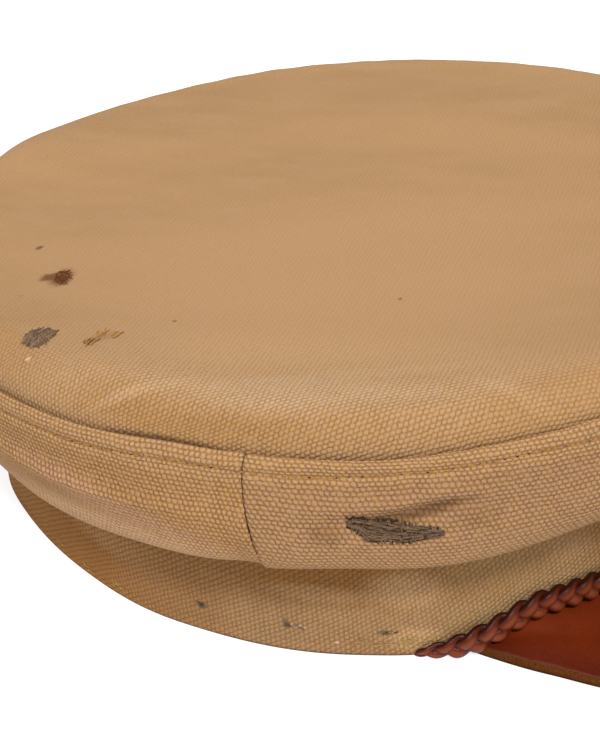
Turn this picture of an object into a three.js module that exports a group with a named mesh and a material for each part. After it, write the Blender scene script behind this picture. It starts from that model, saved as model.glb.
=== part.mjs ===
// Sailor cap: a wide canvas crown on a narrow canvas head band, with a leather peak and a plaited strap.
// Millimetres, +Z up. The peak points to -Y and the cap stands on the lower edge of its band.

import * as THREE from 'three';
import { mergeVertices } from 'three/addons/utils/BufferGeometryUtils.js';

// Cloth, leather and clearance
const CANVAS = 1.4;
const BAND_CLOTH = 1.8;
const PEAK_LEATHER = 3.0;
const GAP = 0.3;

// The crown rises towards the front by this much for each millimetre
const CROWN_SLOPE = 0.0917;

// Upper face of the crown disc, from its middle to the margin turned down inside the wall
const TOP_ROWS = [
  { name: 'middle', halfLength: 0, halfWidth: 0, height: 79.0, shift: 1.5, power: 2 },
  { name: 'dish', halfLength: 42, halfWidth: 37, height: 79.3, shift: 1.5, power: 2 },
  { name: 'slope', halfLength: 84, halfWidth: 74, height: 81.4, shift: 1.6, power: 2 },
  { name: 'ridge', halfLength: 111, halfWidth: 97, height: 84.2, shift: 1.8, power: 2 },
  { name: 'shoulder', halfLength: 118.6, halfWidth: 106.4, height: 82.0, shift: 1.9, power: 2 },
  { name: 'crease', halfLength: 121.2, halfWidth: 110.2, height: 77.4, shift: 1.9, power: 2 },
  { name: 'margin', halfLength: 121.2, halfWidth: 110.6, height: 70.6, shift: 1.8, power: 2 },
];

// Outer face of the side wall, from its welted top edge, round the fold and in to the head band
const WALL_ROWS = [
  { name: 'lip', halfLength: 123.0, halfWidth: 112.0, height: 77.8, shift: 1.9, power: 2 },
  { name: 'welt', halfLength: 124.0, halfWidth: 113.4, height: 75.4, shift: 1.9, power: 2 },
  { name: 'stitch', halfLength: 123.6, halfWidth: 113.6, height: 71.6, shift: 1.6, power: 2 },
  { name: 'upper', halfLength: 123.2, halfWidth: 116.2, height: 65.2, shift: 0.5, power: 2 },
  { name: 'bulge', halfLength: 120.8, halfWidth: 118.8, height: 57.0, shift: -1.6, power: 2 },
  { name: 'fold', halfLength: 117.0, halfWidth: 117.0, height: 50.4, shift: -3.0, power: 2 },
  { name: 'bottom', halfLength: 113.6, halfWidth: 111.6, height: 48.4, shift: -2.2, power: 2 },
  { name: 'under', halfLength: 107.2, halfWidth: 100.0, height: 49.8, shift: 0.6, power: 2 },
  { name: 'seat', halfLength: 101.9, halfWidth: 90.7, height: 52.4, shift: 3.0, power: 2 },
  { name: 'tuck', halfLength: 101.4, halfWidth: 90.2, height: 57.6, shift: 3.0, power: 2 },
];

// Outer face of the head band, from the top edge hidden in the crown to the hem
const BAND_TOP = { halfLength: 100.6, halfWidth: 89.4, height: 57.0, shift: 3.0, power: 2 };
const BAND_HEM = { halfLength: 99.6, halfWidth: 88.3, height: 0, shift: 3.6, power: 2 };

// The hem is flat at the sides and back and arches up over the peak (degrees from the front)
const ARCH_HEIGHT = 9;
const ARCH_FOOT = 64.5;
const ARCH_CROWN = 50;

// The two wall panels meet in a seam on each side (degrees from the front)
const WALL_SEAM = 91.5;

// Soft dents and swellings of the wall: where round the cap, how far down the rows, and how deep
const WALL_FOLDS = [
  { name: 'darn crease', angle: -71, spread: 9, level: 0.31, reach: 0.07, swell: -2.6 },
  { name: 'darn lobe', angle: -73, spread: 9, level: 0.46, reach: 0.08, swell: 1.6 },
  { name: 'seam swell', angle: -87, spread: 4, level: 0.47, reach: 0.09, swell: 1.0 },
  { name: 'rear slack', angle: -128, spread: 12, level: 0.36, reach: 0.1, swell: -1.6 },
  { name: 'back sag', angle: 178, spread: 16, level: 0.42, reach: 0.1, swell: 1.8 },
  { name: 'left dent', angle: 118, spread: 12, level: 0.34, reach: 0.09, swell: -2.0 },
  { name: 'left sag', angle: 70, spread: 14, level: 0.45, reach: 0.1, swell: 1.5 },
  { name: 'front dent', angle: 24, spread: 10, level: 0.33, reach: 0.09, swell: -1.6 },
  { name: 'front sag', angle: -22, spread: 13, level: 0.44, reach: 0.1, swell: 1.6 },
];

// Waves of the padded rim of the crown
const RIM_WAVES = [
  { name: 'near tuck', angle: -112, spread: 9, rise: 1.4 },
  { name: 'near flat', angle: -96, spread: 7, rise: -0.7 },
  { name: 'far sag', angle: 95, spread: 40, rise: -1.2 },
  { name: 'far corner', angle: 114, spread: 5, rise: 0.5 },
  { name: 'far hollow', angle: 131, spread: 11, rise: -0.9 },
  { name: 'rear lift', angle: 168, spread: 12, rise: 2.2 },
  { name: 'front lift', angle: 12, spread: 16, rise: 0.8 },
];
const RIM_LEVEL = 0.52;
const RIM_REACH = 0.14;

// Outer edge of the peak in plan, from one corner to the middle of the front
const PEAK_EDGE = [
  { name: 'corner', x: 79.0, y: -47.6, height: 2.4 },
  { name: 'side', x: 82.0, y: -64.0, height: 2.7 },
  { name: 'cheek', x: 83.2, y: -92.0, height: 2.7 },
  { name: 'quarter', x: 68.0, y: -124.0, height: 3.4 },
  { name: 'bow', x: 37.0, y: -143.0, height: 5.2 },
  { name: 'front', x: 0, y: -149.5, height: 6.4 },
];
const PEAK_CORNER = 60;
// Its inner edge lies this far inside the band's outer face and below the hem
const PEAK_MARGIN = 1.7;
const PEAK_DROP = 0.45;
// The leather arches by PEAK_CROWN where it is at least PEAK_FULL wide, flatter along the middle
const PEAK_CROWN = 2.2;
const PEAK_FULL = 40;
const PEAK_FLATTEN = 0.6;
const PEAK_FLAT_POWER = 8;

// Plaited strap along the join of band and peak
const PLAIT_END = 71;
const PLAIT_REACH = 96;
const PLAIT_LIFT = 4.4;
const PLAIT_STANDOFF = 0.45;
const PLAIT_BACK = 0.5;
const PLAIT_PITCH = 15.4;
const PLAIT_SWAY = 1.8;
const PLAIT_WEAVE = 0.6;
const STRAND_WIDE = 3.9;
const STRAND_THICK = 1.5;
const PLAIT_TAPER = 13;
const PLAIT_THIN = 0.3;

// Steps round and along each piece
const ROUND_STEPS = 56;
const BAND_STEPS = 72;
const WALL_STEPS = 12;
const TOP_STEPS = 10;
const PEAK_STEPS = 24;
const PEAK_ROWS = 6;
const BAND_ROWS = 4;
const PLAIT_STEPS = 156;
const PLAIT_ROWS = 4;

// Small step in u and v for the slope of a surface, and the distance at which corners are shared
const SLOPE_STEP = 1e-3;
const SHARE_DISTANCE = 1e-4;

const rad = THREE.MathUtils.degToRad;
const deg = THREE.MathUtils.radToDeg;
const clamp = THREE.MathUtils.clamp;

// One value per column of a table, on a smooth curve through its rows
function sample(rows, u) {
  const place = u * (rows.length - 1);
  const first = clamp(Math.floor(place), 0, rows.length - 2);
  const t = place - first;
  const near = [-1, 0, 1, 2].map((k) => rows[clamp(first + k, 0, rows.length - 1)]);
  const value = {};
  for (const column of Object.keys(rows[0])) {
    if (column === 'name') continue;
    const [a, b, c, d] = near.map((row) => row[column]);
    const lift = (c - a) * t + (2 * a - 5 * b + 4 * c - d) * t * t;
    value[column] = b + 0.5 * (lift + (3 * b - a - 3 * c + d) * t * t * t);
  }
  return value;
}

// A point of an oval ring: angle 0 is the front, +90 degrees is the wearer's left
function ovalPoint(ring, angle) {
  const s = Math.sin(angle);
  const c = Math.cos(angle);
  const x = ring.halfWidth * Math.sign(s) * Math.abs(s) ** (2 / ring.power);
  const y = ring.shift - ring.halfLength * Math.sign(c) * Math.abs(c) ** (2 / ring.power);
  return new THREE.Vector3(x, y, ring.height);
}

// A smooth bump of height 1 round a given angle, both in degrees
function bumpAt(angle, centre, spread) {
  const turn = THREE.MathUtils.euclideanModulo(angle - centre + 180, 360) - 180;
  return Math.exp(-((turn / spread) ** 2));
}

// Normal of a surface given by two parameters
function surfaceNormal(surface, u, v) {
  const near = clamp(u, SLOPE_STEP, 1 - SLOPE_STEP);
  const du = surface(near + SLOPE_STEP, v).sub(surface(near - SLOPE_STEP, v));
  const dv = surface(near, v + SLOPE_STEP).sub(surface(near, v - SLOPE_STEP));
  const normal = du.cross(dv);
  return normal.lengthSq() < 1e-12 ? new THREE.Vector3(0, 0, 1) : normal.normalize();
}

// Bare closed geometry with shared corners, facing outwards
function closed(geometry) {
  geometry.deleteAttribute('normal');
  geometry.deleteAttribute('uv');
  const solid = mergeVertices(geometry, SHARE_DISTANCE);
  const corners = Array.from(solid.index.array);
  const kept = [];
  for (let i = 0; i < corners.length; i += 3) {
    const [a, b, c] = corners.slice(i, i + 3);
    if (a !== b && b !== c && c !== a) kept.push(a, b, c);
  }
  solid.setIndex(kept);
  solid.computeVertexNormals();
  return solid;
}

// A box whose every corner is moved to a place given by three numbers from 0 to 1
function mappedBox(place, uSteps, vSteps) {
  const box = new THREE.BoxGeometry(1, 1, 1, uSteps, 1, vSteps);
  const spots = box.attributes.position;
  for (let i = 0; i < spots.count; i += 1) {
    const point = place(spots.getX(i) + 0.5, spots.getY(i) + 0.5, spots.getZ(i) + 0.5);
    spots.setXYZ(i, point.x, point.y, Math.max(point.z, 0));
  }
  return closed(box);
}

// The sheet between a surface and its offset
function sheet(surface, thickness, uSteps, vSteps, vStart, vEnd) {
  function place(u, depth, part) {
    const v = THREE.MathUtils.lerp(vStart, vEnd, part);
    const normal = surfaceNormal(surface, u, v);
    return surface(u, v).addScaledVector(normal, -thickness * depth);
  }
  return mappedBox(place, uSteps, vSteps);
}

// Lays a turned section over a surface that goes all the way round the cap
function roundSheet(surface, thickness, uSteps, roundSteps, openMiddle) {
  const hub = openMiddle ? 1 : 0;
  const outline = [];
  for (let i = uSteps; i >= 0; i -= 1) outline.push(new THREE.Vector2(hub + i / uSteps, 0));
  for (let i = 0; i <= uSteps; i += 1) outline.push(new THREE.Vector2(hub + i / uSteps, -1));
  outline.push(outline[0].clone());
  const turned = new THREE.LatheGeometry(outline, roundSteps);
  const spots = turned.attributes.position;
  for (let i = 0; i < spots.count; i += 1) {
    const reach = Math.hypot(spots.getX(i), spots.getZ(i));
    const u = clamp(reach - hub, 0, 1);
    const angle = reach < 1e-6 ? 0 : Math.atan2(spots.getX(i), spots.getZ(i));
    const normal = surfaceNormal(surface, u, angle);
    const point = surface(u, angle).addScaledVector(normal, thickness * spots.getY(i));
    spots.setXYZ(i, point.x, point.y, Math.max(point.z, 0));
  }
  return closed(turned);
}

// Height of the hem of the band above the floor
function hemHeight(angle) {
  const turn = Math.abs(deg(Math.atan2(Math.sin(angle), Math.cos(angle))));
  return ARCH_HEIGHT * THREE.MathUtils.smoothstep(ARCH_FOOT - turn, 0, ARCH_FOOT - ARCH_CROWN);
}

// Crown disc: the rim waves grow from the slope to the ridge and die out in the crease
function topSurface(u, angle) {
  const point = ovalPoint(sample(TOP_ROWS, u), angle);
  const onRim = Math.exp(-(((u - RIM_LEVEL) / RIM_REACH) ** 2));
  let rise = 0;
  for (const wave of RIM_WAVES) rise += wave.rise * bumpAt(deg(angle), wave.angle, wave.spread);
  point.z += onRim * rise - CROWN_SLOPE * point.y;
  return point;
}

// Side wall with its soft folds
function wallSurface(u, angle) {
  const ring = sample(WALL_ROWS, u);
  let swell = 0;
  for (const fold of WALL_FOLDS) {
    const along = bumpAt(deg(angle), fold.angle, fold.spread);
    swell += fold.swell * along * Math.exp(-(((u - fold.level) / fold.reach) ** 2));
  }
  ring.halfLength += swell;
  ring.halfWidth += swell;
  const point = ovalPoint(ring, angle);
  point.z -= CROWN_SLOPE * point.y;
  return point;
}

// Head band between its sloping top edge and its arched hem
function bandSurface(u, angle) {
  const ring = sample([BAND_TOP, BAND_HEM], u);
  const point = ovalPoint(ring, angle);
  const top = BAND_TOP.height - CROWN_SLOPE * point.y;
  point.z = THREE.MathUtils.lerp(top, hemHeight(angle), u);
  return point;
}

// A point of the hem line, moved out (or in) from the outer face of the band
function hemPoint(angle, outset, height) {
  const ring = { ...BAND_HEM, height };
  const point = ovalPoint(ring, angle);
  const ahead = ovalPoint(ring, angle + SLOPE_STEP);
  const behind = ovalPoint(ring, angle - SLOPE_STEP);
  const along = ahead.sub(behind).normalize();
  const out = new THREE.Vector3(along.y, -along.x, 0);
  return { point: point.addScaledVector(out, outset), along, out };
}

// Outer edge of the peak, from the right corner to the left one
const peakEdge = new THREE.CatmullRomCurve3([
  ...PEAK_EDGE.map((row) => new THREE.Vector3(-row.x, row.y, row.height)),
  ...PEAK_EDGE.slice(0, -1).reverse().map((row) => new THREE.Vector3(row.x, row.y, row.height)),
]);

// Upper face of the peak, between the hem and its outer edge
function peakSurface(u, v) {
  const angle = rad(PEAK_CORNER) * (2 * v - 1);
  const inner = hemPoint(angle, -PEAK_MARGIN, hemHeight(angle) - PEAK_DROP).point;
  const outer = peakEdge.getPoint(clamp(v, 0, 1));
  const wide = inner.distanceTo(outer);
  const point = inner.lerp(outer, u);
  const arch = Math.sin(Math.PI * u);
  point.z += PEAK_CROWN * clamp(wide / PEAK_FULL, 0, 1) * (arch - PEAK_FLATTEN * arch ** PEAK_FLAT_POWER);
  return point;
}

// A point of the plait: u runs across it from the upper to the lower edge, v from end to end
function plaitPoint(u, depth, v) {
  const limit = rad(PLAIT_END);
  const angle = limit * (2 * v - 1);
  const length = 2 * limit * PLAIT_REACH;
  const ease = THREE.MathUtils.smoothstep(length * Math.min(v, 1 - v), 0, PLAIT_TAPER);
  const size = THREE.MathUtils.lerp(PLAIT_THIN, 1, ease);
  const turns = [0, 1, 2].map((k) => 2 * Math.PI * ((length * v) / PLAIT_PITCH + k / 3));
  const sways = turns.map((turn) => PLAIT_SWAY * Math.sin(turn));
  const low = Math.min(...sways) - STRAND_WIDE / 2;
  const high = Math.max(...sways) + STRAND_WIDE / 2;
  const across = THREE.MathUtils.lerp(high, low, u);
  const relief = turns.map((turn, k) => {
    const off = clamp((2 * (across - sways[k])) / STRAND_WIDE, -1, 1);
    return PLAIT_WEAVE * Math.sin(2 * turn) + STRAND_THICK * Math.sqrt(1 - off * off);
  });
  const face = Math.max(...relief) + PLAIT_WEAVE + PLAIT_BACK;
  const floorRoom = size * (PLAIT_SWAY + STRAND_WIDE / 2) + GAP;
  const height = Math.max(hemHeight(angle) + PLAIT_LIFT * size, floorRoom);
  const { point } = hemPoint(angle, PLAIT_STANDOFF + size * face * (1 - depth), height);
  point.z += size * across;
  return point;
}

const canvasCloth = new THREE.MeshStandardMaterial({ name: 'canvas', color: 0xc49a6a, roughness: 0.95 });
const bandCloth = new THREE.MeshStandardMaterial({ name: 'band canvas', color: 0xb08c5c, roughness: 0.95 });
const peakLeather = new THREE.MeshStandardMaterial({ name: 'peak leather', color: 0x7a3018, roughness: 0.4 });
const plaitLeather = new THREE.MeshStandardMaterial({ name: 'plait leather', color: 0x80402a, roughness: 0.55 });

const cap = new THREE.Group();
cap.name = 'sailor_cap';

function addPiece(name, geometry, material) {
  const mesh = new THREE.Mesh(geometry, material);
  mesh.name = name;
  cap.add(mesh);
}

const seamGap = deg(GAP / 2 / WALL_ROWS[0].halfWidth);
const frontEnd = rad(WALL_SEAM - seamGap);
const backStart = rad(WALL_SEAM + seamGap);

addPiece('crown_top', roundSheet(topSurface, CANVAS, TOP_STEPS, ROUND_STEPS, false), canvasCloth);
addPiece('wall_front', sheet(wallSurface, CANVAS, WALL_STEPS, ROUND_STEPS / 2, -frontEnd, frontEnd), canvasCloth);
addPiece(
  'wall_back',
  sheet(wallSurface, CANVAS, WALL_STEPS, ROUND_STEPS / 2, backStart, 2 * Math.PI - backStart),
  canvasCloth,
);
addPiece('head_band', roundSheet(bandSurface, BAND_CLOTH, BAND_ROWS, BAND_STEPS, true), bandCloth);
addPiece('visor', sheet(peakSurface, PEAK_LEATHER, PEAK_ROWS, PEAK_STEPS, 0, 1), peakLeather);
addPiece('braid_strap', mappedBox(plaitPoint, PLAIT_ROWS, PLAIT_STEPS), plaitLeather);

// The frame's origin is on the floor, under the middle of the whole cap
const bounds = new THREE.Box3().setFromObject(cap);
const middle = bounds.getCenter(new THREE.Vector3());
for (const mesh of cap.children) mesh.geometry.translate(-middle.x, -middle.y, -bounds.min.z);

export default cap;
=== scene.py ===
import math

import bpy
import numpy as np
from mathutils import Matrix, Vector


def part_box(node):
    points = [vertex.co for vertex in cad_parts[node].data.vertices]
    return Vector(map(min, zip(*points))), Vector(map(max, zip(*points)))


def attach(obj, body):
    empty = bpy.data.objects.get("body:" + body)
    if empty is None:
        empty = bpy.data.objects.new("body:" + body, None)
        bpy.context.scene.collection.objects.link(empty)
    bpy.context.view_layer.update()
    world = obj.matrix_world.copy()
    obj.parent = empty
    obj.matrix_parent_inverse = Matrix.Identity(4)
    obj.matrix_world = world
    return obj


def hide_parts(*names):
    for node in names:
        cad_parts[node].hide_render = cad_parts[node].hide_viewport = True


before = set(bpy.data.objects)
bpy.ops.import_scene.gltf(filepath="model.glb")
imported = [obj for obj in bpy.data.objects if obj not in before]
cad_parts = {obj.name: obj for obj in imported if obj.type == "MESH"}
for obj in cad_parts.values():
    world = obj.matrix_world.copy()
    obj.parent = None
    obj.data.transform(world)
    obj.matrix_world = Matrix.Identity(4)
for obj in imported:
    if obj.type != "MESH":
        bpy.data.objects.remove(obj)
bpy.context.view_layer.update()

MM = 0.001

# The cap is worked in millimetres about one middle line: -Y is the front, -X the wearer's right.
# The head band's box is centred BAND_FORWARD behind that line.
BAND_LOW, BAND_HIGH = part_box("head_band")
BAND_FORWARD = 3.0
OFFSET = np.array([
    (BAND_LOW[0] + BAND_HIGH[0]) / 2,
    (BAND_LOW[1] + BAND_HIGH[1]) / 2 - BAND_FORWARD * MM,
    0.0,
])

# Thickness of cloth and leather, the gap between sewn pieces, and the rise of the crown toward the front
CANVAS = 1.4
BAND_CLOTH = 1.8
PEAK_LEATHER = 3.0
GAP = 0.3
CROWN_SLOPE = 0.0917

# Columns of each ring table: half length, half width, height, shift
TOP_ROWS = np.array([
    [0, 0, 79, 1.5],
    [42, 37, 79.3, 1.5],
    [84, 74, 81.4, 1.6],
    [111, 97, 84.2, 1.8],
    [118.6, 106.4, 82, 1.9],
    [121.2, 110.2, 77.4, 1.9],
    [121.2, 110.6, 70.6, 1.8],
])
WALL_ROWS = np.array([
    [121.7, 110.7, 75.2, 1.9],
    [122.9, 111.9, 76.5, 1.9],
    [124, 113.4, 74.7, 1.9],
    [123.6, 113.6, 71.6, 1.6],
    [123.2, 116.2, 65.2, 0.5],
    [120.8, 118.8, 57, -1.6],
    [117, 117, 50.4, -3],
    [113.6, 111.6, 48.4, -2.2],
    [107.2, 100, 49.8, 0.6],
    [101.9, 90.7, 52.4, 3],
    [101.4, 90.2, 57.6, 3],
])
BAND_ROWS = np.array([
    [100.2, 89, 57, 3],
    [99.6, 88.3, 0, 3.6],
])
# Arch of the hem over the peak: its height, and the angles where it starts and where it is full
ARCH_HEIGHT, ARCH_FOOT, ARCH_CROWN = 9.0, 64.5, 50.0
# Level of the old row of stitches above the hem of the band
HEM_ROW = 0.945
# Angle of the side seams
WALL_SEAM = 91.5

# Soft folds of the wall. Columns: angle, spread, level, reach, swell
WALL_FOLDS = np.array([
    [-75, 10, 0.485, 0.045, 1],
    [-87, 5, 0.405, 0.05, 0.5],
    [-87, 4, 0.54, 0.08, 1.1],
    [-114, 17, 0.436, 0.022, 1.2],
    [-114, 17, 0.385, 0.04, -0.5],
    [-115, 18, 0.525, 0.045, -1.3],
    [-115, 18, 0.62, 0.085, -2.8],
    [178, 16, 0.478, 0.09, 1.8],
    [118, 12, 0.406, 0.08, -2],
    [70, 14, 0.505, 0.09, 1.5],
    [24, 10, 0.397, 0.08, -1.6],
    [-22, 13, 0.496, 0.09, 1.6],
])
# Arched crease above the mend of the wall: middle and spread of the crease, its level, middle, spread and
# rise of the arch, then valley and crest with their reach
CREASE_AT, CREASE_SPREAD, CREASE_LEVEL = -75.5, 8.0, 0.434
CREASE_ARCH, CREASE_ARCH_SPREAD, CREASE_RISE = -70.3, 4.6, 0.031
CREASE_DEEP, CREASE_REACH = 1.4, 0.020
CREASE_HIGH, CREASE_HIGH_REACH = 0.80, 0.022
# Waves of the welt's upper edge and of the lower fold. Columns: angle, spread, level, reach, rise
WALL_WAVES = np.array([
    [-100, 7, 0.05, 0.14, 1.15],
    [-77, 9, 0.05, 0.14, -1.15],
    [-52, 8, 0.05, 0.14, 1],
    [40, 14, 0.05, 0.14, -0.8],
    [150, 15, 0.05, 0.14, 0.8],
    [-120, 18, 0.66, 0.11, -4],
    [-73, 8, 0.63, 0.12, -1.1],
    [-54, 7, 0.63, 0.12, 1.5],
    [-66, 5, 0.63, 0.12, -0.6],
    [-42, 6, 0.63, 0.12, 0.9],
    [-101, 9, 0.66, 0.11, -0.7],
    [80, 14, 0.63, 0.12, -0.8],
])
# Waves of the padded rim. Columns: angle, spread, level, reach, rise
RIM_WAVES = np.array([
    [-112, 9, 0.52, 0.14, 1.4],
    [-96, 7, 0.52, 0.14, -0.7],
    [95, 52, 0.52, 0.14, -4.1],
    [114, 5, 0.52, 0.14, 0.5],
    [131, 11, 0.52, 0.14, -0.9],
    [163, 10.5, 0.52, 0.14, 2.1],
    [133, 11, 0.69, 0.1, -0.45],
    [12, 16, 0.52, 0.14, 0.8],
    [-102, 13, 0.67, 0.1, -1.7],
    [-74, 14, 0.625, 0.08, 1.1],
])
# Waves of the hem of the band. Columns: angle, spread, swell
HEM_WAVES = np.array([
    [-158, 13, 2.6],
    [-130, 11, -0.5],
    [150, 14, 1.2],
])
# Soft folds of the band. Columns: angle at BAND_FOLD_MIDDLE, lean in degrees, spread, swell
BAND_FOLDS = np.array([
    [-69.8, -9, 3.6, 0.8],
    [-61, -8, 4.5, -0.7],
    [-101, -6, 5, -0.9],
    [-114, 0, 8, 0.7],
    [60, 6, 5, 0.7],
    [110, -5, 7, -0.7],
    [170, 4, 8, 0.6],
])
# Outer edge of the peak from a corner to the middle of its front. Columns: x, y, height
PEAK_EDGE = np.array([
    [78.3, -44.6, 2],
    [82, -64, 2.7],
    [83.2, -92, 2.7],
    [68, -124, 3.4],
    [37, -143, 5.2],
    [0, -149.5, 6.4],
])
# Angle of its corners, its margin under the band, its arch, the width with a full arch, and the arch's dish
PEAK_CORNER, PEAK_MARGIN, PEAK_CROWN, PEAK_FULL = 62.0, 1.7, 2.2, 40.0
PEAK_DISH, PEAK_DISH_POWER = 0.6, 8

# Plaited strap: angle of its ends, rough radius, height above the hem and length of a full turn
PLAIT_END, PLAIT_REACH, PLAIT_LIFT, PLAIT_PITCH = 70.1, 96.0, 4.4, 15.4
# How far strands sway up and down and weave in and out, and the size of a strand
PLAIT_SWAY, PLAIT_WEAVE, STRAND_WIDE, STRAND_THICK = 1.80, 1.05, 4.1, 2.4
# Length of its tapered ends, how thin they get, length and size of the round tip, and the gap to the band
PLAIT_TAPER, PLAIT_THIN, PLAIT_ROUND, PLAIT_TIP, PLAIT_CLEAR = 15.0, 0.44, 2.0, 0.03, 0.5

# Slack of the crown and where it fades out. Columns: depth, seed, wavelength
CROWN_SLACK = ((0.40, 3, 62.0), (0.12, 4, 24.0))
CROWN_SLACK_STRETCH = 0.5
CROWN_SLACK_FADE = (0.55, 0.8)
# Puckers beside the rim seam: level, reach, depth, seed and wavelength
PUCKER_LEVEL, PUCKER_REACH, PUCKER_DEPTH, PUCKER_SEED, PUCKER_WAVE = 0.74, 0.07, 0.20, 8, 9.0
# Slack of the wall: its rough radius and height, the slack's depth, seed and wavelength, and its levels
WALL_REACH, WALL_SPAN = 118.0, 136.0
WALL_SLACK, WALL_SLACK_SEED, WALL_SLACK_WAVE = 0.30, 11, 34.0
WALL_SLACK_RISE, WALL_SLACK_FADE = (0.28, 0.38), (0.65, 0.82)
# Small ripples of the welt: depth, level, reach, wavelength, and how the ripples bunch up
WELT_RIPPLE, WELT_LEVEL, WELT_REACH, WELT_WAVE = 0.12, 0.2, 0.06, 4.1
WELT_BUNCH, WELT_BUNCH_WAVE = 2, 17.0
# Slack of the band: its rough radius and height, the slack's depth, seed and wavelength
BAND_REACH, BAND_SPAN = 95.0, 60.0
BAND_SLACK, BAND_SLACK_SEED, BAND_SLACK_WAVE = 0.30, 21, 46.0
# Belly of the band, how far its head is drawn in, and the dip of the old stitch row
BAND_BELLY, BAND_BELLY_LEVEL, BAND_BELLY_REACH, BAND_DRAWN = 1.3, 0.68, 0.22, 1.2
HEM_ROW_DIP, HEM_ROW_REACH = 0.16, 0.012
# Levels of the band over which its slack comes, its drawn head lets go, and its folds and hem waves come
BAND_SLACK_RISE, BAND_DRAWN_FADE = (0.1, 0.4), (0.1, 0.45)
BAND_FOLD_RISE, BAND_FOLD_MIDDLE, BAND_FOLD_END = (0.3, 0.6), 0.75, 1.15
HEM_WAVE_RISE = (0.3, 0.7)
# Dip of the wall under the top-stitching
STITCH_DIP, STITCH_DIP_REACH = 0.40, 0.011

# Top-stitching below the welt: its level, and where it strays upward by an angle, a spread and a rise
STITCH_LEVEL = 0.287
STITCH_STRAYS = ((-99.0, 8.0, 0.034), (-61.0, 7.0, 0.030))
STITCH_PITCH = 2.85
STITCH_LENGTH = 1.5
STITCH_RADIUS = 0.18
STITCH_BASE, STITCH_ARCH, STITCH_BLUNT = -0.12, 0.36, 0.6
# How stitches vary: along the row, in level, in length and thickness, and how deep some are sunk
STITCH_JITTER, STITCH_WAVER, STITCH_LONG, STITCH_FAT = 0.2, 0.0025, (0.6, 1.25), (0.8, 1.1)
STITCH_SUNK, STITCH_SUNK_ODDS = (0.0, -0.10, -0.22), (0.45, 0.3, 0.25)
HOLE_FAT = (0.6, 1.1)
HOLE_LENGTH, HOLE_RADIUS, HOLE_SPACE, HOLE_LIFT, HOLE_DROP = 0.5, 0.26, 0.25, -0.14, 0.002

rng = np.random.default_rng(7)


def spline(rows, u):
    """Values of every column on a smooth curve through the rows of a table."""
    n = len(rows)
    place = np.clip(u, 0.0, 1.0) * (n - 1)
    first = np.clip(np.floor(place).astype(int), 0, n - 2)
    t = (place - first)[..., None]
    a = rows[np.clip(first - 1, 0, n - 1)]
    b = rows[first]
    c = rows[first + 1]
    d = rows[np.clip(first + 2, 0, n - 1)]
    return b + 0.5 * ((c - a) * t + (2 * a - 5 * b + 4 * c - d) * t * t + (3 * b - a - 3 * c + d) * t ** 3)


def oval(ring, angle):
    """Points of oval rings: angle 0 is the front, +90 degrees the wearer's left."""
    x = ring[..., 1] * np.sin(angle)
    y = ring[..., 3] - ring[..., 0] * np.cos(angle)
    return np.stack([x, y, ring[..., 2] + 0.0 * x], axis=-1)


def unit(vectors):
    return vectors / np.maximum(np.linalg.norm(vectors, axis=-1, keepdims=True), 1e-9)


def hump(x, centre, reach):
    return np.exp(-(((x - centre) / reach) ** 2))


def bump_at(angle_deg, centre, spread):
    turn = (angle_deg - centre + 180.0) % 360.0 - 180.0
    return hump(turn, 0.0, spread)


def smoothstep(x, low, high):
    t = np.clip((x - low) / (high - low), 0.0, 1.0)
    return t * t * (3 - 2 * t)


def ripple(x, y, seed, wave, count=5):
    """A soft wandering surface: the mean of a few sine waves of about one wavelength."""
    picks = np.random.default_rng(seed)
    total = np.zeros(np.broadcast(x, y).shape)
    for _ in range(count):
        turn = picks.uniform(0, 2 * math.pi)
        length = wave * picks.uniform(0.7, 1.5)
        phase = picks.uniform(0, 2 * math.pi)
        total = total + np.sin(2 * math.pi * (x * math.cos(turn) + y * math.sin(turn)) / length + phase)
    return total / count


def swellings(rows, u, angle):
    """Sum of round swellings. Columns: angle, spread, level, reach, swell."""
    total = np.zeros(np.broadcast(u, angle).shape)
    for turn, spread, level, reach, swell in rows:
        total = total + swell * bump_at(np.degrees(angle), turn, spread) * hump(u, level, reach)
    return total


def widen(ring, extra):
    return ring + np.stack([extra, extra, 0 * extra, 0 * extra], axis=-1)


def hem_height(angle):
    turn = np.abs(np.degrees(np.arctan2(np.sin(angle), np.cos(angle))))
    return ARCH_HEIGHT * smoothstep(ARCH_FOOT - turn, 0.0, ARCH_FOOT - ARCH_CROWN)


def stitch_level(angle):
    level = STITCH_LEVEL + 0.0 * angle
    for turn, spread, rise in STITCH_STRAYS:
        level = level - rise * bump_at(np.degrees(angle), turn, spread)
    return level


def top_points(u, angle):
    point = oval(spline(TOP_ROWS, u), angle)
    x, y = point[..., 0], point[..., 1]
    slack = sum(depth * ripple(x, CROWN_SLACK_STRETCH * y, seed, wave) for depth, seed, wave in CROWN_SLACK)
    slack = slack * (1 - smoothstep(u, *CROWN_SLACK_FADE))
    pucker = hump(u, PUCKER_LEVEL, PUCKER_REACH) * PUCKER_DEPTH * ripple(x, y, PUCKER_SEED, PUCKER_WAVE)
    point[..., 2] += swellings(RIM_WAVES, u, angle) + slack + pucker - CROWN_SLOPE * y
    return point


def crease(u, angle):
    """Swell of the crease: a narrow valley with a rounded crest above it."""
    turn = np.degrees(angle)
    level = CREASE_LEVEL - CREASE_RISE * bump_at(turn, CREASE_ARCH, CREASE_ARCH_SPREAD)
    valley = CREASE_DEEP * hump(u, level, CREASE_REACH)
    crest = CREASE_HIGH * hump(u, level - 2 * CREASE_REACH, CREASE_HIGH_REACH)
    return (crest - valley) * bump_at(turn, CREASE_AT, CREASE_SPREAD)


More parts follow.
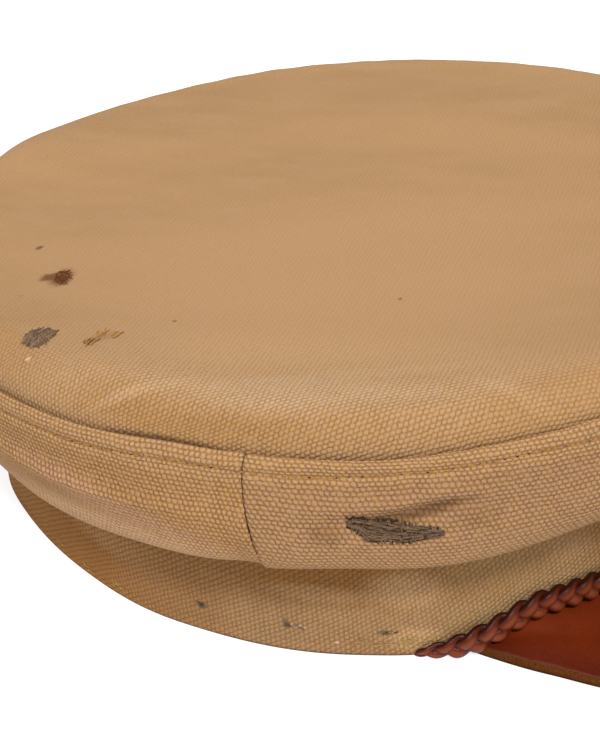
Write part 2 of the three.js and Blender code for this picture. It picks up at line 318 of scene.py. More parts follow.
def wall_points(u, angle):
    along = angle * WALL_REACH
    middle = smoothstep(u, *WALL_SLACK_RISE) * (1 - smoothstep(u, *WALL_SLACK_FADE))
    ripples = np.sin(along / WELT_WAVE + WELT_BUNCH * np.sin(along / WELT_BUNCH_WAVE))
    swell = swellings(WALL_FOLDS, u, angle) + crease(u, angle)
    swell = swell + middle * WALL_SLACK * ripple(along, u * WALL_SPAN, WALL_SLACK_SEED, WALL_SLACK_WAVE)
    swell = swell - STITCH_DIP * hump(u, stitch_level(angle), STITCH_DIP_REACH)
    swell = swell + WELT_RIPPLE * hump(u, WELT_LEVEL, WELT_REACH) * ripples
    point = oval(widen(spline(WALL_ROWS, u), swell), angle)
    point[..., 2] += swellings(WALL_WAVES, u, angle) - CROWN_SLOPE * point[..., 1]
    return point


def band_points(u, angle):
    turn = np.degrees(angle)
    swell = BAND_SLACK * ripple(angle * BAND_REACH, u * BAND_SPAN, BAND_SLACK_SEED, BAND_SLACK_WAVE)
    swell = swell * smoothstep(u, *BAND_SLACK_RISE)
    swell = swell + BAND_BELLY * hump(u, BAND_BELLY_LEVEL, BAND_BELLY_REACH)
    swell = swell - BAND_DRAWN * (1 - smoothstep(u, *BAND_DRAWN_FADE))
    for middle, lean, spread, depth in BAND_FOLDS:
        fold = depth * bump_at(turn, middle + lean * (u - BAND_FOLD_MIDDLE), spread)
        swell = swell + fold * smoothstep(u, *BAND_FOLD_RISE) * (BAND_FOLD_END - u)
    for middle, spread, wave in HEM_WAVES:
        swell = swell + wave * bump_at(turn, middle, spread) * smoothstep(u, *HEM_WAVE_RISE)
    swell = swell - HEM_ROW_DIP * hump(u, HEM_ROW, HEM_ROW_REACH)
    point = oval(widen(spline(BAND_ROWS, u), swell), angle)
    top = BAND_ROWS[0, 2] - CROWN_SLOPE * point[..., 1]
    point[..., 2] = top + (hem_height(angle) - top) * u
    return point


def hem_frame(angle, outset, height):
    """A point off the hem line with the outward direction of the band there."""
    ring = np.broadcast_to(BAND_ROWS[1], np.shape(angle) + (4,))
    step = 1e-3
    along = unit(oval(ring, angle + step) - oval(ring, angle - step))
    out = np.stack([along[..., 1], -along[..., 0], 0 * along[..., 0]], axis=-1)
    point = oval(ring, angle) + out * np.asarray(outset)[..., None]
    point[..., 2] = height
    return point, out


def peak_edge(v):
    left = PEAK_EDGE * np.array([-1.0, 1.0, 1.0])
    return spline(np.concatenate([left, PEAK_EDGE[-2::-1]]), v)


def peak_points(u, v):
    angle = math.radians(PEAK_CORNER) * (2 * v - 1)
    inner, _ = hem_frame(angle, -PEAK_MARGIN + 0 * angle, hem_height(angle) - GAP)
    outer = peak_edge(v)
    wide = np.linalg.norm(outer - inner, axis=-1)
    point = inner + (outer - inner) * u[..., None]
    arch = np.sin(math.pi * u)
    arch = arch - PEAK_DISH * arch ** PEAK_DISH_POWER
    point[..., 2] += PEAK_CROWN * np.clip(wide / PEAK_FULL, 0, 1) * arch
    return point


def grid_normals(points):
    return unit(np.cross(np.gradient(points, axis=0), np.gradient(points, axis=1)))


def run_length(points):
    """Distance along a row of points."""
    return np.concatenate([[0.0], np.cumsum(np.linalg.norm(np.diff(points, axis=0), axis=1))])


def make_object(name, verts, faces, materials, face_slots=None, uvs=None):
    """A mesh object from points in the cap's millimetres."""
    mesh = bpy.data.meshes.new(name)
    placed = np.asarray(verts, float) * MM + OFFSET
    mesh.from_pydata(placed.tolist(), [], [list(map(int, f)) for f in faces])
    if uvs is not None:
        layer = mesh.uv_layers.new(name="cloth")
        index = np.empty(len(mesh.loops), dtype=np.int32)
        mesh.loops.foreach_get("vertex_index", index)
        layer.data.foreach_set("uv", np.asarray(uvs, dtype=np.float32)[index].ravel())
    for material in materials:
        mesh.materials.append(material)
    if face_slots is not None:
        mesh.polygons.foreach_set("material_index", np.asarray(face_slots, dtype=np.int32))
    mesh.polygons.foreach_set("use_smooth", np.ones(len(mesh.polygons), dtype=bool))
    mesh.update()
    obj = bpy.data.objects.new(name, mesh)
    bpy.context.scene.collection.objects.link(obj)
    return obj


def ride(obj, slot, *nodes):
    """Fastens a piece to the cap, in place of the named solids."""
    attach(obj, "root")
    if nodes:
        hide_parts(*nodes)
    return obj


def joined(index):
    """A grid of point numbers with its first column again at the end."""
    return np.concatenate([index, index[:, :1]], axis=1)


def quads(index):
    """Faces between the rows and columns of a grid of point numbers."""
    corners = [index[:-1, :-1], index[1:, :-1], index[1:, 1:], index[:-1, 1:]]
    return np.stack(corners, axis=-1).reshape(-1, 4)


def sheet_faces(rows, cols, around):
    """Quads of the outer face, the inner face and the edges of a sheet of rows and columns."""
    outer = np.arange(rows * cols).reshape(rows, cols)
    if around:
        outer = joined(outer)
    inner = outer + rows * cols
    lining = quads(inner)[:, [0, 3, 2, 1]]
    head = np.stack([outer[0, :-1], outer[0, 1:], inner[0, 1:], inner[0, :-1]], axis=-1)
    foot = np.stack([outer[-1, :-1], inner[-1, :-1], inner[-1, 1:], outer[-1, 1:]], axis=-1)
    ends = []
    if not around:
        ends.append(np.stack([outer[:-1, 0], inner[:-1, 0], inner[1:, 0], outer[1:, 0]], axis=-1))
        ends.append(np.stack([outer[:-1, -1], outer[1:, -1], inner[1:, -1], inner[:-1, -1]], axis=-1))
    return quads(outer), lining, head, foot, ends


def round_normals(points):
    wrapped = np.concatenate([points[:, -1:], points, points[:, :1]], axis=1)
    return grid_normals(wrapped)[:, 1:-1]


def shell(name, points, thickness, uv, materials, around=False):
    """A sheet with two faces and closed edges: rows of points run down, columns run along."""
    rows, cols = points.shape[:2]
    normal = round_normals(points) if around else grid_normals(points)
    back = points - normal * thickness
    back[..., 2] = np.maximum(back[..., 2], 0.0)
    verts = np.concatenate([points.reshape(-1, 3), back.reshape(-1, 3)])
    coords = np.concatenate([uv.reshape(-1, 2)] * 2)
    face, lining, head, foot, ends = sheet_faces(rows, cols, around)
    faces = np.concatenate([face, lining, head, foot] + ends)
    return make_object(name, verts, faces, materials, None, coords)


# Direction that the rings of every thread are turned toward
TUBE_GUIDE = np.array([0.31, 0.17, 0.93])


class Tubes:
    """Many thin round threads gathered into one mesh."""

    def __init__(self, sides=6):
        self.sides = sides
        self.verts = []
        self.faces = []
        self.count = 0

    def add(self, path, radius):
        path = np.asarray(path, float)
        n = len(path)
        along = unit(np.gradient(path, axis=0))
        side = unit(np.cross(along, TUBE_GUIDE))
        top = np.cross(side, along)
        ring = np.linspace(0, 2 * math.pi, self.sides, endpoint=False)
        size = np.broadcast_to(np.asarray(radius, float), (n,))
        spread = np.cos(ring)[None, :, None] * side[:, None] + np.sin(ring)[None, :, None] * top[:, None]
        self.verts.append((path[:, None] + size[:, None, None] * spread).reshape(-1, 3))
        index = self.count + np.arange(n * self.sides).reshape(n, self.sides)
        self.faces += [*quads(joined(index))[:, [0, 3, 2, 1]], index[0, ::-1], index[-1]]
        self.count += n * self.sides

    def build(self, name, material):
        return make_object(name, np.concatenate(self.verts), self.faces, [material])


def off_surface(surface, u, angle, lift):
    """Points a little off the outer face of a surface of the cap."""
    step = 2e-3
    du = surface(u + step, angle) - surface(u - step, angle)
    dv = surface(u, angle + step) - surface(u, angle - step)
    return surface(u, angle) + unit(np.cross(du, dv)) * np.asarray(lift)[..., None]


class Patch:
    """Millimetres along and up a surface of the cap, about one spot and turned by an angle."""

    def __init__(self, surface, level, angle, turn=0.0):
        self.surface = surface
        self.level = level
        self.angle = math.radians(angle)
        self.turn = math.radians(turn)
        step = 4e-3
        levels = np.array([level - step, level + step])
        angles = np.array([self.angle - step, self.angle + step])
        down = surface(levels, np.full(2, self.angle))
        along = surface(np.full(2, level), angles)
        self.per_level = np.linalg.norm(down[1] - down[0]) / (2 * step)
        self.per_angle = np.linalg.norm(along[1] - along[0]) / (2 * step)

    def at(self, s, t, lift):
        s, t = np.broadcast_arrays(np.asarray(s, float), np.asarray(t, float))
        along = s * math.cos(self.turn) - t * math.sin(self.turn)
        up = s * math.sin(self.turn) + t * math.cos(self.turn)
        lift = np.broadcast_to(np.asarray(lift, float), s.shape)
        level = self.level - up / self.per_level
        return off_surface(self.surface, level, self.angle + along / self.per_angle, lift)


class Graph:
    """A new material, with short names for building its shader nodes."""

    def __init__(self, name):
        self.material = bpy.data.materials.new(name)
        self.material.use_nodes = True
        self.tree = self.material.node_tree
        self.tree.nodes.clear()
        self.out = self.node("ShaderNodeOutputMaterial")
        self.shader = self.node("ShaderNodeBsdfPrincipled")
        self.tree.links.new(self.shader.outputs[0], self.out.inputs["Surface"])

    def node(self, kind, feeds=None, **settings):
        made = self.tree.nodes.new(kind)
        for key, value in settings.items():
            setattr(made, key, value)
        self.feed(made, feeds or {})
        return made

    def feed(self, made, feeds):
        """Links or sets inputs of a node."""
        for key, value in feeds.items():
            socket = made.inputs[key]
            if isinstance(value, bpy.types.NodeSocket):
                self.tree.links.new(value, socket)
            elif socket.type == "RGBA":
                socket.default_value = (*value, 1.0)
            else:
                socket.default_value = value

    def math(self, op, a, b=0.0, c=0.0, clamp=False):
        return self.node("ShaderNodeMath", {0: a, 1: b, 2: c}, operation=op, use_clamp=clamp).outputs[0]

    def times(self, a, b):
        return self.math("MULTIPLY", a, b)

    def plus(self, a, b):
        return self.math("ADD", a, b)

    def minus(self, a, b):
        return self.math("SUBTRACT", a, b)

    def vector(self, op, a, b=(0, 0, 0)):
        made = self.node("ShaderNodeVectorMath", {0: a, 1: b}, operation=op)
        return made.outputs["Value" if op == "LENGTH" else "Vector"]

    def scale(self, a, k):
        return self.node("ShaderNodeVectorMath", {0: a, "Scale": k}, operation="SCALE").outputs["Vector"]

    def turn(self, a, degrees):
        feeds = {"Vector": a, "Angle": math.radians(degrees)}
        return self.node("ShaderNodeVectorRotate", feeds, rotation_type="Z_AXIS").outputs[0]

    def join(self, x, y):
        return self.node("ShaderNodeCombineXYZ", {0: x, 1: y}).outputs[0]

    def split(self, a):
        return tuple(self.node("ShaderNodeSeparateXYZ", {0: a}).outputs)

    def noise(self, where, scale, detail=2.0, rough=0.5, colour=False):
        feeds = {"Vector": where, "Scale": scale, "Detail": detail, "Roughness": rough}
        made = self.node("ShaderNodeTexNoise", feeds, noise_dimensions="3D")
        return made.outputs["Color" if colour else "Fac"]

    def wander(self, where, scale, amount, detail=1.0):
        """A small noisy shift of a place."""
        cloud = self.noise(where, scale, detail, colour=True)
        return self.scale(self.vector("SUBTRACT", cloud, (0.5, 0.5, 0.5)), amount)

    def white(self, where):
        made = self.node("ShaderNodeTexWhiteNoise", {"Vector": where}, noise_dimensions="3D")
        return made.outputs["Value"]

    def step(self, value, low, high, to_low=0.0, to_high=1.0):
        feeds = {"Value": value, "From Min": low, "From Max": high, "To Min": to_low, "To Max": to_high}
        made = self.node("ShaderNodeMapRange", feeds, interpolation_type="SMOOTHSTEP", clamp=True)
        return made.outputs["Result"]

    def mix(self, factor, a, b, mode="MIX"):
        feeds = {0: factor, 6: a, 7: b}
        made = self.node("ShaderNodeMix", feeds, data_type="RGBA", blend_type=mode, clamp_factor=True)
        return made.outputs[2]

    def tint(self, base, colour, mask, strength, mode="MIX"):
        """A colour laid over another where a mask is 1."""
        return self.mix(self.times(mask, strength), base, colour, mode)

    def choose(self, factor, a, b):
        feeds = {0: factor, 4: a, 5: b}
        return self.node("ShaderNodeMix", feeds, data_type="VECTOR", clamp_factor=True).outputs[1]

    def bump(self, height, distance, strength):
        feeds = {"Height": height, "Distance": distance, "Strength": strength}
        return self.node("ShaderNodeBump", feeds).outputs["Normal"]

    def uv(self):
        return self.node("ShaderNodeUVMap", uv_map="cloth").outputs["UV"]

    def place(self):
        """Place on the object in millimetres."""
        return self.scale(self.node("ShaderNodeTexCoord").outputs["Object"], 1 / MM)

    def dress(self, base, rough, shine, normal):
        """Colour, roughness, specular level and normal of the surface."""
        feeds = {"Base Color": base, "Roughness": rough, "Specular IOR Level": shine, "Normal": normal}
        self.feed(self.shader, feeds)


# Cuts of cloth. Columns: bump spacing along a row, row spacing, turn of the rows in degrees, skew, lean
TOP_CUT = (1.36, 1.12, 63.0, 0.0, -0.22)
FRONT_CUT = (1.40, 1.09, 2.0, 0.0, 0.15)
BACK_CUT = (1.36, 1.10, 0.0, 0.28, 0.20)
BAND_CUT = (1.60, 1.27, 86.0, 0.0, 0.40)
# Half length and half height of a bump as shares of the bump and row spacing
BUMP_LONG, BUMP_TALL = 0.535, 0.545
# Roundness of a bump: 2 is an oval, more is closer to a brick
BUMP_POWER = 2.5
TOP_BUMP, WALL_BUMP, BAND_BUMP = 0.00028, 0.00040, 0.00028
# How ragged a bump's outline is, and the turn and strength of the fibres within it
RAGGED, FIBRE_TURN, FIBRE_STRENGTH = 0.68, 38.0, 0.46


def shade(colour, factor):
    return tuple(c * factor for c in colour)


def weave(g, uv, cut):
    """Distance from the middle of the nearest bump of the weave, 1 in a gap, the bump's number, and how far
    the place is toward an end of the bump rather than a side."""
    along, down, turn, skew, tilt = cut
    shifted = g.vector("ADD", uv, g.wander(uv, 0.13, 1.2, 2.0))
    shifted = g.vector("ADD", shifted, g.wander(uv, 1.0, 0.28))
    x, y, _ = g.split(g.turn(shifted, turn))
    cell = g.join(g.minus(x, g.times(y, skew)), y)
    cell = g.vector("DIVIDE", cell, (along, 2 * down, 1.0))
    far, idents, ends = [], [], []
    for offset in (0.0, 0.5):
        moved = g.vector("ADD", cell, (offset, offset, 0.0))
        inside = g.vector("SUBTRACT", g.vector("FRACTION", moved), (0.5, 0.5, 0.0))
        x, y, _ = g.split(g.vector("MULTIPLY", inside, (1 / BUMP_LONG, 2 / BUMP_TALL, 0.0)))
        out = g.math("ABSOLUTE", g.plus(x, g.times(y, tilt)))
        up = g.math("ABSOLUTE", y)
        total = g.plus(g.math("POWER", out, BUMP_POWER), g.math("POWER", up, BUMP_POWER))
        far.append(g.math("POWER", total, 1 / BUMP_POWER))
        ends.append(g.minus(out, up))
        idents.append(g.vector("ADD", g.vector("FLOOR", moved), (0.0, 0.0, 14.0 * offset)))
    second = g.math("LESS_THAN", far[1], far[0])
    end = g.plus(ends[0], g.times(second, g.minus(ends[1], ends[0])))
    return g.math("MINIMUM", far[0], far[1]), g.choose(second, idents[0], idents[1]), end


def spots(g, uv, base, rows):
    """Colour with soft ragged ovals of other colours laid over it.

    Columns: x, y, half length, half width, turn, strength, colour.
    """
    for x, y, long, wide, turn, strength, stain in rows:
        local = g.turn(g.vector("SUBTRACT", uv, (x, y, 0.0)), turn)
        local = g.vector("ADD", local, g.wander(uv, 0.8, min(0.9 * wide, 2.5), 3.0))
        local = g.vector("DIVIDE", g.vector("MULTIPLY", local, (1.0, 1.0, 0.0)), (long, wide, 1.0))
        mask = g.step(g.vector("LENGTH", local), 1.15, 0.35)
        base = g.tint(base, stain, mask, strength)
    return base


def laid(place, rows):
    """Rows of spots. The given rows have a level and an angle in degrees in place of x and y."""
    return [(*place(level, angle), *rest) for level, angle, *rest in rows]


def canvas(name, colour, gap_shade, cut, bump, tints=(), marks=(), seams=(), worn=None, streak=(1.0, 1.0),
           height_tint=None, hem=None):
    """Worn duck canvas in cloth millimetres.

    Bump is the height of the weave. The gap colour is painted shade in the gaps between the bumps, whose
    crowns get a painted highlight. Tints lie under that painted highlight and shade and marks on top of
    them, both as rows of spots; besides stains and wear, many of them are painted light and painted shade.
    Seams are places along the cloth with a thin painted shade in them. Worn gives two places across the
    cloth between which the weave is rubbed faint, and what is left of it. Streak stretches the clouds of
    colour. A height tint gives two heights between which the cloth turns to another colour, and that colour:
    on the band a painted shade under the fold of the crown, on the wall a paler welt. Hem gives two heights
    between which the cloth darkens toward the hem to a painted shade, and that colour.
    """
    g = Graph(name)
    uv = g.uv()
    across, upward, _ = g.split(uv)
    far, ident, end = weave(g, uv, cut)
    tone = g.white(ident)
    hue = g.white(g.vector("ADD", ident, (0.0, 0.0, 41.0)))
    far = g.times(far, g.plus(0.94, g.times(tone, 0.12)))
    rag = g.noise(uv, 1.9, 2.0, 0.6)
    far = g.math("MAXIMUM", g.plus(far, g.times(g.minus(rag, 0.5), RAGGED)), 0.0)
    crisp = 1.0 if worn is None else g.step(across, worn[0], worn[1], 1.0, worn[2])
    pillow = g.math("SUBTRACT", 1.0, g.math("POWER", far, 2.2), clamp=True)
    pillow = g.times(pillow, g.plus(0.75, g.times(tone, 0.4)))
    gap = g.times(g.step(far, 0.66, 1.02), crisp)
    gap = g.times(gap, g.step(end, -0.35, 0.45, 0.80, 1.0))
    gap = g.times(gap, g.step(g.noise(uv, 0.85, 2.0), 0.32, 0.60, 0.55, 1.0))
    long_way = g.vector("MULTIPLY", uv, (streak[0], streak[1], 1.0))
    cloud = g.noise(long_way, 0.030, 3.0, 0.55)
    mottle = g.noise(long_way, 0.12, 3.0, 0.6)
    fibre_way = g.vector("MULTIPLY", g.turn(uv, cut[2] + FIBRE_TURN), (7.0, 2.6, 1.0))
    fibre = g.noise(fibre_way, 1.0, 2.0, 0.6)
    base = g.mix(g.step(cloud, 0.32, 0.70), shade(colour, 0.935), shade(colour, 1.06))
    pink = tuple(part * lift for part, lift in zip(colour, MOTTLE_PINK))
    base = g.tint(base, pink, g.step(mottle, 0.38, 0.70), 0.6)
    # Between two heights the cloth turns to another colour: on the band a painted shade under the fold of
    # the crown, on the wall a paler welt
    if height_tint is not None:
        base = g.mix(g.step(upward, height_tint[0], height_tint[1]), base, height_tint[2])
    # Painted shade darkening the cloth toward the very hem
    if hem is not None:
        base = g.mix(g.step(upward, hem[1], hem[0], 0.0, 0.7), base, hem[2])
    base = spots(g, uv, base, tints)
    # Painted highlight on the crown of every bump, of random strength
    crown = g.times(g.step(far, 0.75, 0.1), crisp)
    base = g.tint(base, BUMP_HIGHLIGHT, crown, g.plus(0.25, g.times(tone, 0.6)), "MULTIPLY")
    base = g.tint(base, BUMP_PINK, hue, crisp, "MULTIPLY")
    base = g.tint(base, FIBRE_DARK, g.step(fibre, 0.40, 0.70), g.times(crisp, FIBRE_STRENGTH), "MULTIPLY")
    # Painted shade in the gaps between the bumps
    base = g.mix(gap, base, gap_shade, "MULTIPLY")
    base = spots(g, uv, base, marks)
    # Thin painted shade along the seams, broken up by noise
    for place in seams:
        off = g.math("ABSOLUTE", g.minus(across, place))
        patchy = g.step(g.noise(uv, 0.55, 2.0), 0.40, 0.60, 0.05, 0.85)
        base = g.tint(base, SEAM_SHADE, g.step(off, 0.16, 0.03), patchy)
    height = g.plus(g.times(pillow, crisp), g.times(fibre, 0.22))
    g.dress(base, 0.93, 0.08, g.bump(height, bump, 1.0))
    g.feed(g.shader, {"Sheen Weight": 0.02, "Sheen Roughness": 0.6})
    return g.material


def plait_leather(name):
    """Strand leather: clouds, speckle and pores, with a painted highlight on top and painted shade on the
    edges and in the dips.
    """
    g = Graph(name)
    here = g.place()
    over, across, _ = g.split(g.uv())
    aside = g.math("ABSOLUTE", across)
    cloud = g.noise(here, 0.05, 3.0, 0.55)
    streak = g.noise(here, 0.35, 4.0, 0.6)
    grain = g.noise(here, 2.8, 4.0, 0.7)
    speck = g.noise(here, 5.5, 1.0, 0.5)
    base = g.mix(g.step(cloud, 0.3, 0.72), shade(PLAIT_RED, 0.84), shade(PLAIT_RED, 1.16))
    base = g.tint(base, PLAIT_DARK, g.step(streak, 0.45, 0.75), 0.30)
    base = g.tint(base, PLAIT_DARK, g.step(grain, 0.5, 0.75), 0.25)
    base = g.tint(base, PLAIT_SPECK_AND_HIGHLIGHT, g.step(speck, 0.58, 0.74), 0.22)
    # Painted highlight on the top of each strand
    top_highlight = g.times(g.step(over, 0.1, 0.95), g.step(aside, 0.75, 0.15))
    base = g.tint(base, PLAIT_SPECK_AND_HIGHLIGHT, top_highlight, 0.45)
    # Painted shade on the strand's edges and where it dips under the others
    side = g.step(aside, 0.72, 0.98, 0.0, 0.90)
    dip = g.step(over, -0.35, -0.95, 0.0, 0.45)
    base = g.tint(base, PLAIT_SHADE, g.math("MAXIMUM", side, dip), 0.9)
    height = g.plus(grain, g.times(streak, 0.8))
    g.dress(base, g.step(grain, 0.2, 0.8, 0.25, 0.41), 0.14, g.bump(height, 0.00014, 0.6))
    return g.material


def peak_leather(name):
    """Red-brown peak leather, rubbed grey at its outer edge. Its map runs along and in from that edge."""
    g = Graph(name)
    here = g.place()
    _, inward, _ = g.split(g.uv())
    cloud = g.noise(here, 0.05, 3.0, 0.55)
    streak = g.noise(here, 0.30, 4.0, 0.6)
    grain = g.noise(here, 2.4, 3.0, 0.65)
    speck = g.noise(here, 4.5, 1.0, 0.5)
    base = g.mix(g.step(cloud, 0.3, 0.72), PEAK_RED, PEAK_BRIGHT)
    base = g.tint(base, PEAK_STREAK, g.step(streak, 0.48, 0.75), 0.35)
    base = g.tint(base, PEAK_GRAIN, g.step(grain, 0.50, 0.72), 0.45)
    base = g.tint(base, PEAK_SPECK, g.step(speck, 0.56, 0.72), 0.35)
    base = g.mix(g.step(inward, 12.0, 0.5, 0.0, 0.75), base, EDGE_DEEP, "MULTIPLY")
    rub = g.plus(inward, g.times(g.minus(streak, 0.5), 1.6))
    base = g.mix(g.step(rub, 0.8, 0.1, 0.0, 0.42), base, PEAK_RUB)
    dust = g.times(g.step(speck, 0.66, 0.74), g.step(inward, 14.0, 3.0))
    base = g.tint(base, PEAK_DUST, dust, 0.14)
    height = g.plus(grain, g.times(streak, 0.8))
    g.dress(base, g.step(grain, 0.2, 0.8, 0.42, 0.58), 0.06, g.bump(height, 0.00012, 0.7))
    return g.material


def raw_edge(name):
    """Cut edge of thick leather: ochre fibres, darker toward the underside."""
    g = Graph(name)
    here = g.place()
    _, inward, _ = g.split(g.uv())
    fibre = g.noise(here, 1.9, 5.0, 0.7)
    clump = g.noise(here, 0.55, 3.0, 0.6)
    base = g.mix(g.step(fibre, 0.30, 0.70), EDGE_FIBRE, EDGE_PALE)
    base = g.tint(base, EDGE_CLUMP, g.step(clump, 0.45, 0.75), 0.45)
    base = g.mix(g.step(inward, -1.2, -3.0, 0.0, 0.80), base, EDGE_UNDER)
    g.dress(base, 0.95, 0.0, g.bump(fibre, 0.0008, 1.0))
    return g.material


def thread(name, colour, dark):
    """Spun thread with a mottled twist."""
    g = Graph(name)
    here = g.place()
    twist = g.noise(here, 3.0, 2.0, 0.6)
    cloud = g.noise(here, 0.4, 2.0, 0.5)
    base = g.mix(g.step(twist, 0.3, 0.7), dark, colour)
    base = g.tint(base, dark, g.step(cloud, 0.4, 0.7), 0.35)
    g.dress(base, 0.85, 0.08, g.bump(twist, 0.0001, 0.7))
    return g.material


# Colours
TAN = (0.325, 0.189, 0.085)
# Painted shade in the gaps of the top's weave, as a multiplier
TAN_GAP_SHADE = (0.74, 0.55, 0.26)
RUBBED = (0.399, 0.240, 0.114)
RIM_TAN = (0.320, 0.174, 0.064)
# Paler rubbed crest of the padded rim, also a painted highlight along that crest
CREST_RUB_AND_HIGHLIGHT = (0.440, 0.285, 0.150)
# Painted shade in the crease under the padded rim
RIM_CREASE_SHADE = (0.100, 0.045, 0.017)
FADED = (0.358, 0.210, 0.101)
# Painted highlight on the crowns of the weave's bumps, as a multiplier
BUMP_HIGHLIGHT = (1.16, 1.21, 1.34)
BUMP_PINK = (0.96, 0.98, 1.14)
FIBRE_DARK = (0.68, 0.62, 0.48)
EDGE_DEEP = (0.46, 0.28, 0.15)
FRONT_TAN = (0.316, 0.175, 0.078)
# Painted light on the lower fold of the front wall, which faces down
FRONT_FOLD_LIT = (0.378, 0.212, 0.095)
BACK_TAN = (0.354, 0.191, 0.074)
# Painted shade in the gaps of the wall's weave, as a multiplier
WALL_GAP_SHADE = (0.68, 0.53, 0.33)
WELT_TAN = (0.388, 0.220, 0.094)
# Painted light on the lower fold of the back wall, which faces down
FOLD_LIT = (0.520, 0.315, 0.166)
FOLD_PINK = (0.385, 0.213, 0.111)
BAND_TAN = (0.325, 0.186, 0.079)
BAND_LIT = (0.480, 0.285, 0.135)
# Painted shade (the first two) and painted light (the third) on the band
BAND_MILD_SHADE = (0.285, 0.147, 0.054)
BAND_DULL_SHADE = (0.270, 0.132, 0.046)
BAND_SOFT_LIT = (0.360, 0.188, 0.074)
FOLD_SHADE = (0.170, 0.084, 0.032)
# Painted shade on the upper band, under the fold of the crown
BAND_SHADE = (0.285, 0.132, 0.039)
# Painted shade on the band's left side
BAND_LEFT_SHADE = (0.276, 0.120, 0.029)
# Painted shade at the very hem of the band
HEM_SHADE = (0.120, 0.070, 0.042)
# Painted shade in the gaps of the band's weave, as a multiplier
BAND_GAP_SHADE = (0.74, 0.61, 0.37)
DARK_SPOT = (0.070, 0.035, 0.017)
# Painted shade in the seams and in the shadow of the crease over the wall darn
SEAM_SHADE = (0.045, 0.019, 0.008)
RED_SPOT = (0.120, 0.044, 0.016)
GREY_SPOT = (0.110, 0.068, 0.036)
SMUDGE = (0.125, 0.084, 0.046)
OLIVE = (0.345, 0.208, 0.089)
PALE_SPOT = (0.62, 0.46, 0.31)
MOTTLE_PINK = (1.03, 1.04, 1.15)
PEAK_RED = (0.120, 0.0150, 0.0026)
PEAK_BRIGHT = (0.162, 0.0225, 0.0038)
PEAK_STREAK = (0.088, 0.0115, 0.0020)
PEAK_GRAIN = (0.090, 0.0100, 0.0014)
PEAK_SPECK = (0.215, 0.048, 0.016)
PEAK_RUB = (0.112, 0.050, 0.034)
PEAK_DUST = (0.22, 0.09, 0.05)
EDGE_FIBRE = (0.086, 0.026, 0.0076)
EDGE_PALE = (0.154, 0.050, 0.0140)
EDGE_CLUMP = (0.090, 0.028, 0.0065)
EDGE_UNDER = (0.045, 0.014, 0.004)
PLAIT_RED = (0.076, 0.0100, 0.0026)
PLAIT_DARK = (0.030, 0.0046, 0.0014)
# Pale specks of the strands, also their painted highlight
PLAIT_SPECK_AND_HIGHLIGHT = (0.27, 0.058, 0.018)
# Painted shade on the edges of the strands and in their dips
PLAIT_SHADE = (0.012, 0.003, 0.001)

# Crown top, laid out flat from its middle: the cloth is as long as the curve it follows
TOP_U = np.concatenate([np.linspace(0.0, 0.5, 56)[1:], np.linspace(0.5, 1.0, 60)[1:]])
ROUND = np.linspace(-math.pi, math.pi, 361)[:-1]
SIDE = math.radians(-90.0)


def crown_stretch(u):
    """How much longer the cloth is than its plan, from the middle out to a level."""
    fine = np.linspace(0.0, 1.0, 800)
    profile = oval(spline(TOP_ROWS, fine), np.full(len(fine), SIDE))
    plan = np.maximum(np.abs(profile[:, 0]), 1e-6)
    return np.interp(u, fine, run_length(profile) / plan)


def crown_uv(u, angle):
    plan = oval(spline(TOP_ROWS, u), angle)[..., :2]
    return plan * crown_stretch(np.maximum(u, 0.02))[..., None]


def crown_place(level, angle):
    """Place on the crown's cloth."""
    x, y = crown_uv(np.array(level), np.array(math.radians(angle)))
    return float(x), float(y)


# Columns of tints and marks: level, angle, half length, half width, turn, strength, colour
# Rows four, seven, eight and nine are rubbed pale along the crest of the padded rim and paint a highlight
# there; row five is painted shade in the crease under the rim.
TOP_TINTS = laid(crown_place, [
    (0.16, -88, 80, 62, 90, 0.9, FADED),
    (0.44, -84, 98, 29, 90, 0.95, RUBBED),
    (0.66, -100, 36, 8, 100, 0.9, RIM_TAN),
    (0.51, -85, 46, 9, 90, 0.75, CREST_RUB_AND_HIGHLIGHT),
    (0.855, -100.5, 22, 1.8, 100.5, 0.72, RIM_CREASE_SHADE),
    (0.69, -74, 50, 8, 78, 0.45, RIM_TAN),
    (0.56, -105.5, 16, 2, 70, 0.55, CREST_RUB_AND_HIGHLIGHT),
    (0.43, -84, 42, 4, 76, 0.35, CREST_RUB_AND_HIGHLIGHT),
    (0.6, -62.5, 14, 2.6, 108, 0.6, CREST_RUB_AND_HIGHLIGHT),
    (0.62, -128, 20, 8, 128, 0.5, RIM_TAN),
    (0.66, -57, 24, 9, 57, 0.5, RIM_TAN),
])
TOP_MARKS = laid(crown_place, [
    (0.36, -157.8, 1.7, 1, 20, 0.75, DARK_SPOT),
    (0.315, -115.5, 0.9, 0.6, 0, 0.6, DARK_SPOT),
    (0.217, -70.5, 0.9, 0.6, 0, 0.6, DARK_SPOT),
    (0.428, -139, 0.9, 0.7, 0, 0.2, DARK_SPOT),
    (0.606, -122.8, 0.8, 0.8, 0, 0.55, PALE_SPOT),
    (0.503, -125.2, 4.4, 3.8, 0, 0.8, GREY_SPOT),
    (0.35, -144.2, 6.2, 3.3, 0, 0.95, RED_SPOT),
    (0.366, -145, 3.4, 2.2, 30, 0.9, RED_SPOT),
    (0.418, -119.2, 5.5, 3, 35, 0.19, DARK_SPOT),
])
TOP_WORN, TOP_STREAK = (-114.0, -52.0, 0.27), (1.0, 0.33)
canvas_top = canvas(
    "canvas_top", TAN, TAN_GAP_SHADE, TOP_CUT, TOP_BUMP, TOP_TINTS, TOP_MARKS, worn=TOP_WORN, streak=TOP_STREAK
)


